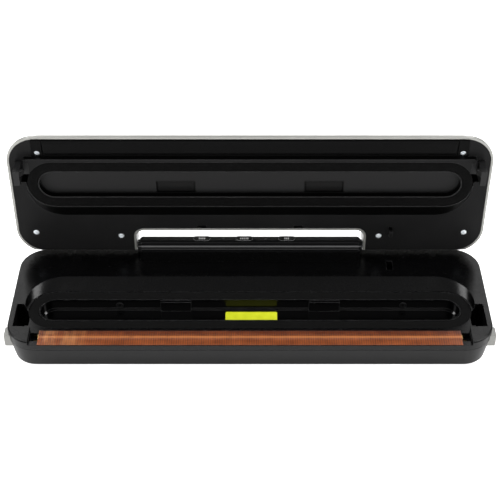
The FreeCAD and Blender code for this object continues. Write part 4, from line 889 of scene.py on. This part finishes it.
def printMarks(side, count):
    low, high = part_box("button_" + side)
    firstMiddle = (low.x + high.x) / 2 - marks["pitch"] * (count - 1) / 2
    front = (low.y + high.y) / 2 + marks["shift"] - marks["deep"] / 2
    rear = front + marks["deep"]
    made = bmesh.new()
    for i in range(count):
        left = firstMiddle + marks["pitch"] * i - marks["wide"] / 2
        right = left + marks["wide"]
        corners = [(left, front), (right, front), (right, rear), (left, rear)]
        below = [made.verts.new((x, y, high.z)) for x, y in corners]
        above = [made.verts.new((x, y, high.z + marks["rise"])) for x, y in corners]
        made.faces.new(below)
        made.faces.new(above)
        for j in range(len(corners)):
            made.faces.new((below[j - 1], below[j], above[j], above[j - 1]))
    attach(newPiece("mark_" + side, meshOf("mark_" + side, made), "markInk"), "button_" + side)


for buttonSide, barCount in marks["bars"].items():
    printMarks(buttonSide, barCount)
print("marks printed")

# floor, camera and soft light
stage = {"floorHalf": 50.0, "floorColour": (0.9, 0.9, 0.9, 1), "floorRoughness": 0.9, "floorSpecular": 0.1,
         "floorGlow": 0.78, "sky": 0.04, "cameraAt": (0.0, -0.725, 0.664), "cameraDown": 39.4, "lens": 89.3,
         "sensor": 36}
softBoxes = {
    "leftSoftBox": {"at": (-1.38, 0.12, 1.52), "aim": (0, 0, 0), "size": (0.55, 1.1), "power": 34},
    "rightSoftBox": {"at": (1.38, 0.12, 1.52), "aim": (0, 0, 0), "size": (0.55, 1.1), "power": 34},
    "leftRimBox": {"at": (-0.8, 1.5, 1.25), "aim": (-0.1, 0, 0.05), "size": (0.6, 0.9), "power": 7},
    "rightRimBox": {"at": (0.8, 1.5, 1.25), "aim": (0.1, 0, 0.05), "size": (0.6, 0.9), "power": 7},
    "topSoftBox": {"at": (0.0, 0.02, 2.1), "aim": (0, 0, 0), "size": (1.6, 0.5), "power": 1.6},
    "frontSoftBox": {"at": (0.0, -1.9, 1.3), "aim": (0, 0, 0), "size": (2.4, 0.9), "power": 34},
}


def layFloor():
    half = stage["floorHalf"]
    mesh = bpy.data.meshes.new("studioFloor")
    mesh.from_pydata([(-half, -half, 0), (half, -half, 0), (half, half, 0), (-half, half, 0)], [], [(0, 1, 2, 3)])
    finish = Finish("studioPaper", {"Base Color": stage["floorColour"], "Roughness": stage["floorRoughness"],
                                    "Specular IOR Level": stage["floorSpecular"], "Emission Color": white,
                                    "Emission Strength": stage["floorGlow"]})
    mesh.materials.append(finish.material)
    newObject("studioFloor", mesh)


def hangLights():
    for name, look in softBoxes.items():
        data = bpy.data.lights.new(name, "AREA")
        data.shape = "RECTANGLE"
        data.size, data.size_y = look["size"]
        data.energy = look["power"]
        lamp = newObject(name, data)
        lamp.location = look["at"]
        aim = Vector(look["aim"]) - Vector(look["at"])
        lamp.rotation_euler = aim.to_track_quat("-Z", "Y").to_euler()
    world = bpy.data.worlds.new("studioSky")
    world.use_nodes = True
    sky = world.node_tree.nodes["Background"].inputs
    sky["Color"].default_value = white
    sky["Strength"].default_value = stage["sky"]
    bpy.context.scene.world = world


def setCamera():
    data = bpy.data.cameras.new("photoCamera")
    data.lens = stage["lens"]
    data.sensor_width = stage["sensor"]
    camera = newObject("photoCamera", data)
    camera.location = stage["cameraAt"]
    camera.rotation_euler = (math.radians(90 - stage["cameraDown"]), 0, 0)
    bpy.context.scene.camera = camera
    bpy.context.scene.view_settings.view_transform = "Standard"


layFloor()
hangLights()
setCamera()
print("stage set")
